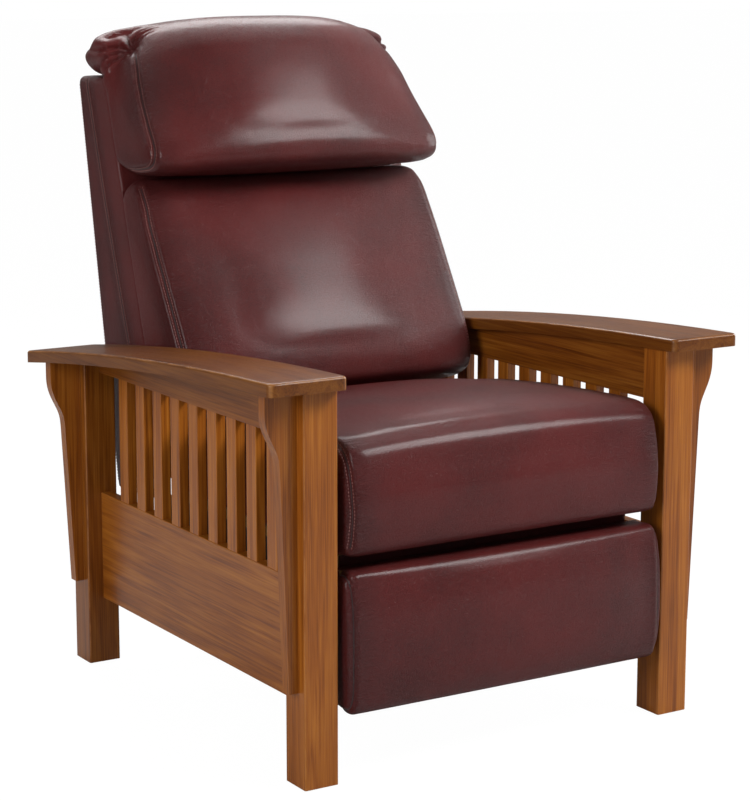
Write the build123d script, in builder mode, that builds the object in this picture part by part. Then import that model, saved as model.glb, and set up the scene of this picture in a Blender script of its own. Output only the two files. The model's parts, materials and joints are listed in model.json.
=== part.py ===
"""Mission reclining armchair: slatted oak arms, a push-back steel linkage and leather cushions.

The chair stands on Z = 0, faces -Y and is centred on the Z axis. Lengths are in millimetres.
Distances along the chair are named from the front face of the front posts and turned into Y
by along(). The sitter's left is +X. Left-hand pieces are drawn and the right-hand ones mirrored.
"""

import os
from math import atan2, cos, degrees, hypot, radians, sin, sqrt, tan

from build123d import *

os.makedirs("parts", exist_ok=True)

# Whole chair
overall_depth = 926.0
seat_opening = 600.0
overrun = 40.0
fit_gap = 0.3
running_clearance = 0.05

# Posts and glides
post_side = 57.0
post_ease = 3.0
frame_depth = 792.0
glide_radius = 14.0
glide_height = 2.5

# Arm tops, bowed along their length
arm_front_overhang = 24.0
arm_rear_overhang = 30.0
arm_side_overhang = 68.0
arm_inner_lap = 4.0
arm_thickness = 20.0
arm_front_height = 618.0
arm_rear_height = 544.0
arm_bow = 12.3
arm_corner_radius = 11.0
arm_edge_ease = 4.5

# Side panels, slats and top rails
rail_thickness = 19.0
rail_setback = 27.5
panel_bottom = 115.5
panel_top = 302.0
top_rail_drop = 33.0
slat_count = 9
slat_width = 30.0
slat_thickness = 17.0
slat_pitch = 62.8
rail_ease = 1.5

# Corbels, an ogee under each arm on the outer face of each post
corbel_thickness = 19.0
corbel_reach = 53.0
corbel_flat_drop = 27.0
corbel_neck_reach = 27.5
corbel_neck_drop = 132.0
corbel_foot_reach = 15.0
corbel_foot_height = 147.0
corbel_tail_run = 12.0
corbel_ogee_shares = ((0.755, 0.31), (0.235, 0.58))

# Cross rails and their glue blocks
front_rail_place = 270.0
front_rail_height = 60.0
rear_rail_setback = 19.0
rear_rail_bottom = 130.0
rear_rail_height = 75.0
block_leg = 38.0
block_height = 50.0

# Steel base plates on wooden cleats
plate_thickness = 3.0
base_plate_inset = 13.0
base_plate_front = 160.0
base_plate_rear_inset = 152.0
base_plate_bottom = 180.0
base_plate_height = 46.0
cleat_end_margin = 10.0

# Layers of the linkage, measured inward from the inner face of a post to each plate's outer face
lift_layer = 19.0
bracket_layer = 23.5
seat_plate_layer = 29.0
drive_layer = 35.0
cross_layer = 41.0
swing_layer = 47.0

# Links and pivots
link_half_width = 10.0
lift_half_width = 11.0
pivot_radius = 4.0
pivot_head_radius = 6.5
pivot_head_height = 2.0
open_head_radius = 9.5
drag_open_clearance = 3.0
bracket_open_clearance = 1.5

# Seat glide: two pairs of equal lift links
lift_link_length = 95.0
lift_lean = 18.0
front_lift_place = 205.0
rear_lift_inset = 272.0
lift_pivot_height = 195.0

# Back hinge and its drag link
recline_angle = 30.0
back_hinge_inset = 124.0
back_hinge_height = 352.0
drag_arm_forward = 35.0
drag_arm_drop = 20.0

# Footrest linkage at rest, and how far each link turns
drive_pivot_place = 158.0
drive_pivot_height = 268.0
drive_link_to_cross = 126.0
drive_link_length = 168.0
drive_link_angle = 24.0
drive_turn = 90.0
cross_link_front = 190.0
cross_link_rear = 47.0
cross_link_rise = 41.0
cross_turn = 9.7
footrest_turn = 86.0
bracket_pivot_back = 16.4
bracket_pivot_drop = 39.9
swing_pivot_height = 255.0
torque_tube_radius = 9.5
torque_tube_bore = 7.0

# Seat frame
seat_rail_thickness = 20.0
seat_rail_bottom = 290.0
seat_rail_height = 44.0
seat_frame_front = 55.0
seat_frame_rear_inset = 208.0
seat_plate_bottom = 262.0
seat_plate_height = 56.0
seat_plate_tail_inset = 180.0
seat_ear_radius = 16.0
pivot_boss_radius = 14.0
bracket_boss_radius = 11.0
spring_count = 5
spring_pitch = 92.0
spring_wire = 3.8
spring_swing = 40.0
spring_bend_radius = 9.0
spring_bends = 12
clip_width = 52.0
clip_depth = 6.0
pad_thickness = 4.0

# Back frame, leaning with the inside back
back_lean = 17.6
back_plane_inset = 189.5
back_plane_height = 400.0
stile_width = 22.0
back_rail_run = 606.0
back_rail_height = 60.0
back_rail_thickness = 22.0
back_rail_count = 3
bracket_inset = 21.0
webbing_count = 5
webbing_width = 50.0
webbing_thickness = 1.2
webbing_first = 90.0
webbing_pitch = 106.0
bracket_reach = 110.0
bracket_end_radius = 13.0

# Outside back
shell_half_width = 281.0
shell_wall = 4.0
shell_bottom = 300.0
shell_foot_inset = 15.0
shell_lean_run = 124.5
shell_top_height = 1002.0
shell_lean_drop = 11.0
shell_notch_rise = 88.0
shell_notch_inset = 92.0
shell_foot_rise = 40.0

# Footrest
board_front = 30.0
board_thickness = 16.0
board_bottom = 112.0
board_height = 206.0
board_half_width = 280.0
bracket_flange = 24.0
bracket_foot_height = 120.0

# Fasteners
screw_radius = 2.5
screw_head_radius = 5.0
screw_head_height = 2.0
screw_length = 14.0
screw_hole_clearance = 0.05
base_screw_shares = (0.04, 0.35, 0.66, 0.96)
seat_screw_shares = (0.2, 0.44, 0.68, 0.92)
footrest_screw_shares = (0.12, 0.5, 0.88)
bolt_places = (72.0, 98.0)

# Where each cushion's side outlines stand: round its ends, then inward to its middle
cushion_edge_angles = (0.0, 30.0, 60.0, 90.0)
cushion_span_shares = (0.13, 0.4, 1.0)

# Seat cushion: each outline row is depth share, height share and share of the crown
seat_half_width = 289.0
seat_cushion_front = -18.0
seat_cushion_rear_overhang = 12.0
seat_cushion_bottom = seat_rail_bottom + seat_rail_height + spring_wire + pad_thickness + fit_gap
seat_cushion_height = 174.0
seat_crown = 9.0
seat_edge_round = 26.0
seat_outline_shares = (
    (0.040, 0.000, 0.0),
    (0.000, 0.460, 0.6),
    (0.028, 0.875, 0.8),
    (0.052, 0.968, 0.9),
    (0.112, 1.000, 1.0),
    (0.580, 0.912, 1.0),
    (0.955, 0.668, 0.2),
    (0.998, 0.380, 0.0),
    (0.970, 0.000, 0.0),
    None,
)

# Lumbar cushion
lumbar_half_width = 287.0
lumbar_bottom = 462.0
lumbar_height = 373.0
lumbar_depth = 280.0
lumbar_front_inset = 306.0
lumbar_crown = 12.0
lumbar_edge_round = 22.0
lumbar_rear_top_share = 0.945
lumbar_outline_shares = (
    (0.360, 0.012, 0.0),
    (0.205, 0.040, 0.3),
    (0.000, 0.135, 0.8),
    (0.075, 0.315, 1.0),
    (0.330, 0.620, 1.0),
    (0.585, 0.905, 1.0),
    (0.650, 0.975, 0.6),
    (0.729, 1.000, 0.3),
    (0.829, 0.987, 0.1),
)

# Headrest cushion, which wraps over the top of the outside back
headrest_half_width = 286.0
headrest_bottom = 850.0
headrest_height = 250.0
headrest_front_inset = 200.0
headrest_depth = 316.0
headrest_crown = 10.0
headrest_edge_round = 60.0
headrest_outline_shares = (
    (0.330, -0.020, 0.4),
    (0.115, 0.010, 0.8),
    (0.010, 0.075, 1.0),
    (-0.002, 0.180, 1.0),
    (0.130, 0.520, 1.0),
    (0.262, 0.835, 1.0),
    (0.360, 0.985, 0.7),
    (0.545, 0.990, 0.4),
    (0.860, 0.850, 0.1),
)

# Footrest pad
pad_half_width = 290.0
pad_front = -19.0
pad_bottom = 103.0
pad_height = 221.0
pad_crown = 5.0
pad_edge_round = 16.0
pad_outline_shares = (
    (1.000, 0.015, 0.0),
    (0.600, 0.000, 0.0),
    (0.180, 0.040, 0.5),
    (0.000, 0.420, 1.0),
    (0.215, 0.930, 1.0),
    (0.400, 0.990, 0.4),
    (1.000, 0.985, 0.0),
)

# Sizes worked out from the ones above
frame_front = arm_front_overhang - overall_depth / 2
post_inner = seat_opening / 2
post_outer = post_inner + post_side
rail_outer = post_outer - rail_setback
rail_inner = rail_outer - rail_thickness
arm_inner = post_inner - arm_inner_lap
top_rail_bottom = arm_rear_height - top_rail_drop
arm_outer = post_outer + arm_side_overhang
cleat_inner = post_inner - base_plate_inset
base_plate_rear = frame_depth - base_plate_rear_inset
rear_lift_place = frame_depth - rear_lift_inset
back_hinge_place = frame_depth - back_hinge_inset
seat_frame_rear = frame_depth - seat_frame_rear_inset
seat_plate_tail = frame_depth - seat_plate_tail_inset
back_plane_place = frame_depth - back_plane_inset
shell_rear_bottom = frame_depth - shell_foot_inset
shell_foot_place = frame_depth - shell_notch_inset
shell_rear_top = shell_rear_bottom + shell_lean_run
shell_notch_height = back_hinge_height + shell_notch_rise
shell_lean_height = shell_top_height - shell_lean_drop
lumbar_front = frame_depth - lumbar_front_inset
headrest_front = frame_depth - headrest_front_inset
seat_cushion_depth = seat_frame_rear - seat_cushion_rear_overhang - seat_cushion_front


def along(distance):
    """Y of a place that lies this far behind the front face of the front posts."""
    return frame_front + distance


def layer(inset):
    """X of the inner face of a linkage plate whose outer face lies this far inside a post."""
    return post_inner - inset - plate_thickness


# The arm's top is one arc through its two ends and its bow
arm_front = along(-arm_front_overhang)
arm_rear = along(frame_depth + arm_rear_overhang)
arm_middle = (arm_front + arm_rear) / 2
arm_chord = hypot(arm_rear - arm_front, arm_front_height - arm_rear_height)
arm_radius = (arm_chord**2 / 4 + arm_bow**2) / (2 * arm_bow)
arm_fall = atan2(arm_front_height - arm_rear_height, arm_rear - arm_front)
arm_sink = arm_radius - arm_bow
arm_centre_y = arm_middle - arm_sink * sin(arm_fall)
arm_centre_z = (arm_front_height + arm_rear_height) / 2 - arm_sink * cos(arm_fall)


def arm_height(y, drop):
    """Height at y of the arc that runs a given drop below the arm's top."""
    return arm_centre_z + sqrt((arm_radius - drop) ** 2 - (y - arm_centre_y) ** 2)


def arm_arc(y_start, y_end, drop):
    """Draw the arc that runs a given drop below the arm's top."""
    y_middle = (y_start + y_end) / 2
    ThreePointArc(
        (y_start, arm_height(y_start, drop)),
        (y_middle, arm_height(y_middle, drop)),
        (y_end, arm_height(y_end, drop)),
    )


def under_arm(x, y_start, y_end, bottom, thickness):
    """Add a board that stands on a level edge and meets the curved underside of the arm."""
    with BuildSketch(Plane.YZ.offset(x)) as board:
        with BuildLine():
            arm_arc(y_start, y_end, arm_thickness)
            Polyline(
                (y_end, arm_height(y_end, arm_thickness)),
                (y_end, bottom),
                (y_start, bottom),
                (y_start, arm_height(y_start, arm_thickness)),
            )
        make_face()
    extrude(board.sketch, amount=thickness)


def save(builder, label):
    """Name a finished sub-part and write it."""
    builder.part.label = label
    export_step(builder.part, f"parts/{label}.step")


def save_pair(builder, label):
    """Write a left-hand sub-part and its mirror image."""
    save(builder, f"{label}_left")
    with BuildPart() as other:
        add(mirror(builder.part, about=Plane.YZ))
    save(other, f"{label}_right")


def box_between(low, high):
    """Add a box from its lowest corner to its highest one."""
    size = [b - a for a, b in zip(low, high)]
    with Locations(low):
        Box(*size, align=(Align.MIN, Align.MIN, Align.MIN))


def rod(x_start, x_end, place, height, radius, mode=Mode.ADD):
    """Add a round bar along X, or cut its hole."""
    with BuildSketch(Plane.YZ.offset(x_start)) as disc:
        with Locations((along(place), height)):
            Circle(radius)
    extrude(disc.sketch, amount=x_end - x_start, mode=mode)


def pivot_pin(x_fixed, running_x, place, height, head_radius):
    """Add a pin fixed on a plate's face: a collar up to the running plate, then a head behind it."""
    if running_x > x_fixed:
        near, far = running_x - fit_gap, running_x + plate_thickness + fit_gap
        end = far + pivot_head_height
    else:
        near, far = running_x + plate_thickness + fit_gap, running_x - fit_gap
        end = far - pivot_head_height
    rod(x_fixed, near, place, height, pivot_head_radius)
    rod(near, far, place, height, pivot_radius)
    rod(far, end, place, height, head_radius)


def link(x, start, end, half_width, holes):
    """Add a flat round-ended link between two pivots, drilled at the places given."""
    run = (end[0] - start[0], end[1] - start[1])
    centre = (along((start[0] + end[0]) / 2), (start[1] + end[1]) / 2)
    with BuildSketch(Plane.YZ.offset(x)) as flat:
        with Locations(Location(centre, degrees(atan2(run[1], run[0])))):
            SlotCenterToCenter(hypot(*run), 2 * half_width)
        for place, height, radius in holes:
            with Locations((along(place), height)):
                Circle(radius, mode=Mode.SUBTRACT)
    extrude(flat.sketch, amount=plate_thickness)


def cushion(half_width, edge_round, crown, crown_direction, anchor, points):
    """Loft a crowned pad with rounded ends, through side outlines spaced across its width.

    Each point is y, z and its share of the crown. Every second point bends the side between
    its neighbours, and None leaves that side straight. The outline shrinks about the anchor
    towards the pad's two ends.
    """
    rows = []
    for angle in cushion_edge_angles:
        rows.append((edge_round * (1 - cos(radians(angle))), edge_round * (1 - sin(radians(angle)))))
    rows += [(edge_round + share * (half_width - edge_round), 0.0) for share in cushion_span_shares]
    rows = [(half_width - depth, inset, 1 - (1 - depth / half_width) ** 2.5) for depth, inset in rows]
    rows = [(-x, inset, share) for x, inset, share in rows[:-1]] + rows[::-1]
    reach = max(hypot(p[0] - anchor[0], p[1] - anchor[1]) for p in points if p)
    outlines = []
    for x, inset, share in rows:
        scale_share = 1 - inset / reach
        ring = []
        for point in points:
            if point is None:
                ring.append(None)
                continue
            lift = crown * share * point[2]
            ring.append(
                (
                    anchor[0] + (point[0] - anchor[0]) * scale_share + lift * crown_direction[0],
                    anchor[1] + (point[1] - anchor[1]) * scale_share + lift * crown_direction[1],
                )
            )
        with BuildSketch(Plane.YZ.offset(x)) as outline:
            with BuildLine():
                for index in range(0, len(ring), 2):
                    corner, middle, following = ring[index], ring[index + 1], ring[(index + 2) % len(ring)]
                    if middle is None:
                        Line(corner, following)
                    else:
                        ThreePointArc(corner, middle, following)
            make_face()
        outlines.append(outline.sketch)
    loft(outlines, ruled=True)


def shaped(shares, front, depth, bottom, height):
    """Turn an outline's shares into y, z and crown."""
    return [
        None if row is None else (along(front + row[0] * depth), bottom + row[1] * height, row[2])
        for row in shares
    ]


# Wooden arm frames, left and right
for name, post_front in (("front_post", 0.0), ("rear_post", frame_depth - post_side)):
    with BuildPart() as post:
        under_arm(post_inner, along(post_front), along(post_front + post_side), glide_height, post_side)
        fillet(post.edges().filter_by(Axis.Z), post_ease)
    save_pair(post, name)

with BuildPart() as arm_top:
    with BuildSketch(Plane.YZ.offset(arm_inner)):
        with BuildLine():
            arm_arc(arm_front, arm_rear, 0.0)
            Line((arm_rear, arm_height(arm_rear, 0.0)), (arm_rear, arm_height(arm_rear, arm_thickness)))
            arm_arc(arm_rear, arm_front, arm_thickness)
            Line((arm_front, arm_height(arm_front, arm_thickness)), (arm_front, arm_height(arm_front, 0.0)))
        make_face()
    extrude(amount=arm_outer - arm_inner)
    fillet(arm_top.edges().filter_by(Axis.Z), arm_corner_radius)
    broad_faces = arm_top.faces().sort_by(SortBy.AREA)[-2:]
    fillet(broad_faces.sort_by(Axis.Z)[-1].edges(), arm_edge_ease)
save_pair(arm_top, "arm_top")

with BuildPart() as top_rail:
    under_arm(rail_inner, along(post_side), along(frame_depth - post_side), top_rail_bottom, rail_thickness)
save_pair(top_rail, "top_rail")

with BuildPart() as side_panel:
    box_between(
        (rail_inner, along(post_side), panel_bottom),
        (rail_outer, along(frame_depth - post_side), panel_top),
    )
    fillet(side_panel.faces().sort_by(Axis.X)[-1].edges().filter_by(Axis.Y), rail_ease)
save_pair(side_panel, "side_panel")

with BuildPart() as slats:
    with BuildSketch(Plane.XY.offset(panel_top)):
        with Locations(((rail_inner + rail_outer) / 2, along(frame_depth / 2))):
            with GridLocations(0, slat_pitch, 1, slat_count):
                RectangleRounded(slat_thickness, slat_width, rail_ease)
    extrude(amount=top_rail_bottom - panel_top)
save_pair(slats, "slats")

for name, post_front in (("front_corbel", 0.0), ("rear_corbel", frame_depth - post_side)):
    with BuildPart() as corbel:
        middle_y = along(post_front + post_side / 2)
        top = arm_height(middle_y, arm_thickness)
        neck = (post_outer + corbel_neck_reach, top - corbel_neck_drop)
        shoulder = (post_outer + corbel_reach, top - corbel_flat_drop)
        foot = (post_outer + corbel_foot_reach, corbel_foot_height)
        ogee_width = corbel_reach - corbel_neck_reach
        ogee_drop = corbel_neck_drop - corbel_flat_drop
        with BuildSketch(Plane.XZ.offset(-middle_y)):
            with BuildLine():
                Polyline(foot, (post_outer, corbel_foot_height), (post_outer, top + overrun))
                Line((post_outer, top + overrun), (shoulder[0], top + overrun))
                Line((shoulder[0], top + overrun), shoulder)
                Spline(
                    shoulder,
                    *[(neck[0] + w * ogee_width, shoulder[1] - d * ogee_drop) for w, d in corbel_ogee_shares],
                    neck,
                    tangents=((0, -1), (foot[0] - neck[0], foot[1] - neck[1])),
                )
                Line(neck, foot)
            make_face()
        extrude(amount=corbel_thickness / 2, both=True)
        with BuildSketch(Plane.YZ):
            with BuildLine():
                arm_arc(arm_front, arm_rear, arm_thickness)
                Polyline(
                    (arm_rear, arm_height(arm_rear, arm_thickness)),
                    (arm_rear, 0),
                    (arm_front, 0),
                    (arm_front, arm_height(arm_front, arm_thickness)),
                )
            make_face()
        extrude(amount=arm_outer, mode=Mode.INTERSECT)
    save_pair(corbel, name)

# Cross rails, glue blocks and glides
with BuildPart() as front_cross_rail:
    box_between(
        (-rail_inner, along(front_rail_place), panel_bottom),
        (rail_inner, along(front_rail_place + rail_thickness), panel_bottom + front_rail_height),
    )
save(front_cross_rail, "front_cross_rail")

rear_rail_front = frame_depth - post_side + rear_rail_setback
with BuildPart() as rear_cross_rail:
    box_between(
        (-post_inner, along(rear_rail_front), rear_rail_bottom),
        (post_inner, along(rear_rail_front + rail_thickness), rear_rail_bottom + rear_rail_height),
    )
save(rear_cross_rail, "rear_cross_rail")

with BuildPart() as glue_blocks:
    behind_front_rail = along(front_rail_place + rail_thickness)
    with BuildSketch(Plane.XY.offset(panel_bottom)):
        with BuildLine():
            Polyline(
                (rail_inner, behind_front_rail),
                (rail_inner - block_leg, behind_front_rail),
                (rail_inner, behind_front_rail + block_leg),
                close=True,
            )
        make_face()
    extrude(amount=block_height)
    before_rear_rail = along(rear_rail_front)
    with BuildSketch(Plane.XY.offset(rear_rail_bottom)):
        with BuildLine():
            Polyline(
                (post_inner, before_rear_rail),
                (post_inner - block_leg, before_rear_rail),
                (post_inner, before_rear_rail - rear_rail_setback),
                close=True,
            )
        make_face()
    extrude(amount=block_height)
    mirror(about=Plane.YZ)
save(glue_blocks, "glue_blocks")

with BuildPart() as foot_glides:
    with BuildSketch(Plane.XY):
        with Locations((0, along(frame_depth / 2))):
            with GridLocations(seat_opening + post_side, frame_depth - post_side, 2, 2):
                Circle(glide_radius)
    extrude(amount=glide_height)
save(foot_glides, "foot_glides")

# Places of the pivots, as distance behind the posts' front face and height
lift_rise = lift_link_length * cos(radians(lift_lean))
lift_run = lift_link_length * sin(radians(lift_lean))
front_lift_foot = (front_lift_place, lift_pivot_height)
rear_lift_foot = (rear_lift_place, lift_pivot_height)
front_lift_head = (front_lift_place + lift_run, lift_pivot_height + lift_rise)
rear_lift_head = (rear_lift_place + lift_run, lift_pivot_height + lift_rise)
back_hinge = (back_hinge_place, back_hinge_height)


def back_arm_end(share):
    """Place of the back bracket's lower pivot after this share of the recline."""
    lean = radians(lift_lean) * (1 - 2 * share)
    turn = radians(recline_angle) * share
    forward, drop = -drag_arm_forward, -drag_arm_drop
    slid = lift_link_length * (sin(lean) - sin(radians(lift_lean)))
    risen = lift_link_length * (cos(lean) - cos(radians(lift_lean)))
    return (
        back_hinge[0] + slid + forward * cos(turn) + drop * sin(turn),
        back_hinge[1] + risen - forward * sin(turn) + drop * cos(turn),
    )


def circle_centre(a, b, c):
    """Centre of the circle through three points."""
    ax, ay = b[0] - a[0], b[1] - a[1]
    bx, by = c[0] - a[0], c[1] - a[1]
    cross = 2 * (ax * by - ay * bx)
    a_square, b_square = ax**2 + ay**2, bx**2 + by**2
    return (a[0] + (by * a_square - ay * b_square) / cross, a[1] + (ax * b_square - bx * a_square) / cross)


drag_head = back_arm_end(0.0)
drag_foot = circle_centre(drag_head, back_arm_end(0.5), back_arm_end(1.0))

drive_pivot = (drive_pivot_place, drive_pivot_height)
drive_down = (sin(radians(drive_link_angle)), -cos(radians(drive_link_angle)))
cross_up = (-cos(radians(cross_link_rise)), sin(radians(cross_link_rise)))


def step(start, direction, length):
    """The point a given length from a start along a direction."""
    return (start[0] + direction[0] * length, start[1] + direction[1] * length)


def turned(direction, angle):
    """A direction turned forward and up by an angle in degrees."""
    c, s = cos(radians(angle)), sin(radians(angle))
    return (direction[0] * c + direction[1] * s, direction[1] * c - direction[0] * s)


cross_pivot = step(drive_pivot, drive_down, drive_link_to_cross)
drive_end = step(drive_pivot, drive_down, drive_link_length)
footrest_pivot = step(cross_pivot, cross_up, cross_link_front)
cross_tail = step(cross_pivot, cross_up, -cross_link_rear)
bracket_pivot = (footrest_pivot[0] + bracket_pivot_back, footrest_pivot[1] - bracket_pivot_drop)
opened_cross_pivot = step(drive_pivot, turned(drive_down, drive_turn), drive_link_to_cross)
opened_tail = step(opened_cross_pivot, turned(cross_up, -cross_turn), -cross_link_rear)
tail_run = (opened_tail[0] - cross_tail[0], opened_tail[1] - cross_tail[1])
tail_middle = ((opened_tail[0] + cross_tail[0]) / 2, (opened_tail[1] + cross_tail[1]) / 2)
swing_pivot = (
    tail_middle[0] - (swing_pivot_height - tail_middle[1]) * tail_run[1] / tail_run[0],
    swing_pivot_height,
)

# Base plates on their cleats
base_plate_x = cleat_inner - plate_thickness
lift_x = layer(lift_layer)
bracket_x = layer(bracket_layer)
seat_plate_x = layer(seat_plate_layer)
drive_x = layer(drive_layer)
cross_x = layer(cross_layer)
swing_x = layer(swing_layer)
base_plate_length = base_plate_rear - base_plate_front
base_screw_places = [base_plate_front + share * base_plate_length for share in base_screw_shares]
base_screw_height = base_plate_bottom + base_plate_height - 2 * screw_head_radius

with BuildPart() as mechanism_cleats:
    box_between(
        (cleat_inner, along(base_plate_front - cleat_end_margin), base_plate_bottom),
        (rail_inner, along(base_plate_rear + cleat_end_margin), base_plate_bottom + base_plate_height),
    )
    for place in base_screw_places:
        rod(
            cleat_inner,
            cleat_inner + screw_length,
            place,
            base_screw_height,
            screw_radius + screw_hole_clearance,
            Mode.SUBTRACT,
        )
    mirror(about=Plane.YZ)
save(mechanism_cleats, "mechanism_cleats")

with BuildPart() as base_plates:
    box_between(
        (base_plate_x, along(base_plate_front), base_plate_bottom),
        (cleat_inner, along(base_plate_rear), base_plate_bottom + base_plate_height),
    )
    fillet(base_plates.edges().filter_by(Axis.X), link_half_width)
    for place in base_screw_places:
        rod(
            base_plate_x,
            cleat_inner,
            place,
            base_screw_height,
            screw_radius + screw_hole_clearance,
            Mode.SUBTRACT,
        )
    mirror(about=Plane.YZ)
save(base_plates, "base_plates")

with BuildPart() as base_screws:
    for place in base_screw_places:
        rod(base_plate_x - screw_head_height, base_plate_x, place, base_screw_height, screw_head_radius)
        rod(base_plate_x, cleat_inner + screw_length, place, base_screw_height, screw_radius)
    mirror(about=Plane.YZ)
save(base_screws, "base_screws")

with BuildPart() as base_pivot_pins:
    for place, height in (front_lift_foot, rear_lift_foot, drag_foot):
        pivot_pin(base_plate_x, lift_x, place, height, pivot_head_radius)
    mirror(about=Plane.YZ)
save(base_pivot_pins, "base_pivot_pins")

# Lift links and drag links
running_hole = pivot_radius + running_clearance
with BuildPart() as front_lift_links:
    loose_hole = pivot_radius + fit_gap
    link(
        lift_x,
        front_lift_foot,
        front_lift_head,
        lift_half_width,
        ((*front_lift_foot, running_hole), (*front_lift_head, loose_hole)),
    )
    mirror(about=Plane.YZ)
save(front_lift_links, "front_lift_links")

with BuildPart() as rear_lift_links:
    link(
        lift_x,
        rear_lift_foot,
        rear_lift_head,
        lift_half_width,
        ((*rear_lift_foot, running_hole), (*rear_lift_head, running_hole)),
    )
    mirror(about=Plane.YZ)
save(rear_lift_links, "rear_lift_links")

with BuildPart() as drag_links:
    link(
        lift_x,
        drag_foot,
        drag_head,
        lift_half_width,
        ((*drag_foot, running_hole), (*drag_head, pivot_radius + drag_open_clearance)),
    )
    mirror(about=Plane.YZ)
save(drag_links, "drag_links")

# Seat frame
seat_rail_outer = seat_plate_x
seat_rail_inner = seat_rail_outer - seat_rail_thickness
seat_rail_top = seat_rail_bottom + seat_rail_height
seat_frame_depth = seat_frame_rear - seat_frame_front
seat_screw_places = [seat_frame_front + share * seat_frame_depth for share in seat_screw_shares]
seat_screw_height = seat_plate_bottom + seat_plate_height - 2 * screw_head_radius

with BuildPart() as seat_side_rails:
    box_between(
        (seat_rail_inner, along(seat_frame_front), seat_rail_bottom),
        (seat_rail_outer, along(seat_frame_rear), seat_rail_top),
    )
    for place in seat_screw_places:
        rod(
            seat_rail_outer - screw_length,
            seat_rail_outer,
            place,
            seat_screw_height,
            screw_radius + screw_hole_clearance,
            Mode.SUBTRACT,
        )
    mirror(about=Plane.YZ)
save(seat_side_rails, "seat_side_rails")

for name, rail_front in (
    ("seat_front_rail", seat_frame_front),
    ("seat_rear_rail", seat_frame_rear - seat_rail_thickness),
):
    with BuildPart() as seat_rail:
        box_between(
            (-seat_rail_inner, along(rail_front), seat_rail_bottom),
            (seat_rail_inner, along(rail_front + seat_rail_thickness), seat_rail_top),
        )
    save(seat_rail, name)

with BuildPart() as seat_plates:
    plate_front = drive_pivot[0] - pivot_boss_radius
    with BuildSketch(Plane.YZ.offset(seat_plate_x)):
        with BuildLine():
            Polyline(
                (along(plate_front), seat_plate_bottom),
                (along(seat_plate_tail), seat_plate_bottom),
                (along(seat_plate_tail), seat_plate_bottom + seat_plate_height),
                (along(plate_front), seat_plate_bottom + seat_plate_height),
                close=True,
            )
        make_face()
        fillet(vertices().sort_by(Axis.Y)[:2].sort_by(Axis.Z)[-1:], pivot_boss_radius)
        with Locations((along(drive_pivot[0]), drive_pivot[1]), (along(swing_pivot[0]), swing_pivot[1])):
            Circle(pivot_boss_radius)
        ear_root = (seat_plate_tail - 2 * seat_ear_radius, seat_plate_bottom + seat_plate_height / 2)
        run = (back_hinge[0] - ear_root[0], back_hinge[1] - ear_root[1])
        centre = (along((back_hinge[0] + ear_root[0]) / 2), (back_hinge[1] + ear_root[1]) / 2)
        with Locations(Location(centre, degrees(atan2(run[1], run[0])))):
            SlotCenterToCenter(hypot(*run), 2 * seat_ear_radius)
    extrude(amount=plate_thickness)
    for place in seat_screw_places:
        rod(
            seat_plate_x,
            seat_plate_x + plate_thickness,
            place,
            seat_screw_height,
            screw_radius + screw_hole_clearance,
            Mode.SUBTRACT,
        )
    mirror(about=Plane.YZ)
save(seat_plates, "seat_plates")

with BuildPart() as seat_screws:
    plate_face = seat_plate_x + plate_thickness
    for place in seat_screw_places:
        rod(plate_face, plate_face + screw_head_height, place, seat_screw_height, screw_head_radius)
        rod(seat_rail_outer - screw_length, plate_face, place, seat_screw_height, screw_radius)
    mirror(about=Plane.YZ)
save(seat_screws, "seat_screws")

with BuildPart() as seat_pivot_pins:
    for running_x, pivot in (
        (lift_x, front_lift_head),
        (lift_x, rear_lift_head),
        (bracket_x, back_hinge),
    ):
        pivot_pin(plate_face, running_x, *pivot, pivot_head_radius)
    pivot_pin(seat_plate_x, drive_x, *drive_pivot, pivot_head_radius)
    pivot_pin(seat_plate_x, swing_x, *swing_pivot, pivot_head_radius)
    mirror(about=Plane.YZ)
save(seat_pivot_pins, "seat_pivot_pins")

spring_first = seat_frame_front + seat_rail_thickness / 2
spring_last = seat_frame_rear - seat_rail_thickness / 2
spring_step = (spring_last - spring_first) / (spring_bends + 1)
spring_centres = [(index - (spring_count - 1) / 2) * spring_pitch for index in range(spring_count)]
with BuildPart() as seat_springs:
    for centre in spring_centres:
        side = -spring_swing / 2
        corners = [(centre, along(spring_first)), (centre + side, along(spring_first))]
        for bend in range(1, spring_bends + 1):
            y_bend = along(spring_first + bend * spring_step)
            corners += [(centre + side, y_bend), (centre - side, y_bend)]
            side = -side
        corners += [(centre + side, along(spring_last)), (centre, along(spring_last))]
        with BuildSketch(Plane.XY.offset(seat_rail_top)):
            with BuildLine() as wire_path:
                FilletPolyline(*corners, radius=spring_bend_radius)
            trace(wire_path.line, line_width=spring_wire)
        extrude(amount=spring_wire)
save(seat_springs, "seat_springs")

with BuildPart() as spring_clips:
    for centre in spring_centres:
        for clip_front in (spring_first - spring_wire / 2 - clip_depth, spring_last + spring_wire / 2):
            box_between(
                (centre - clip_width / 2, along(clip_front), seat_rail_top),
                (centre + clip_width / 2, along(clip_front + clip_depth), seat_rail_top + spring_wire),
            )
save(spring_clips, "spring_clips")

with BuildPart() as seat_pad:
    box_between(
        (-seat_rail_outer, along(seat_frame_front), seat_rail_top + spring_wire),
        (seat_rail_outer, along(seat_frame_rear), seat_rail_top + spring_wire + pad_thickness),
    )
save(seat_pad, "seat_pad")

with BuildPart() as seat_cushion:
    cushion(
        seat_half_width,
        seat_edge_round,
        seat_crown,
        (0, 1),
        (along(seat_cushion_front + seat_cushion_depth / 2), seat_cushion_bottom),
        shaped(
            seat_outline_shares,
            seat_cushion_front,
            seat_cushion_depth,
            seat_cushion_bottom,
            seat_cushion_height,
        ),
    )
save(seat_cushion, "seat_cushion")

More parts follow.
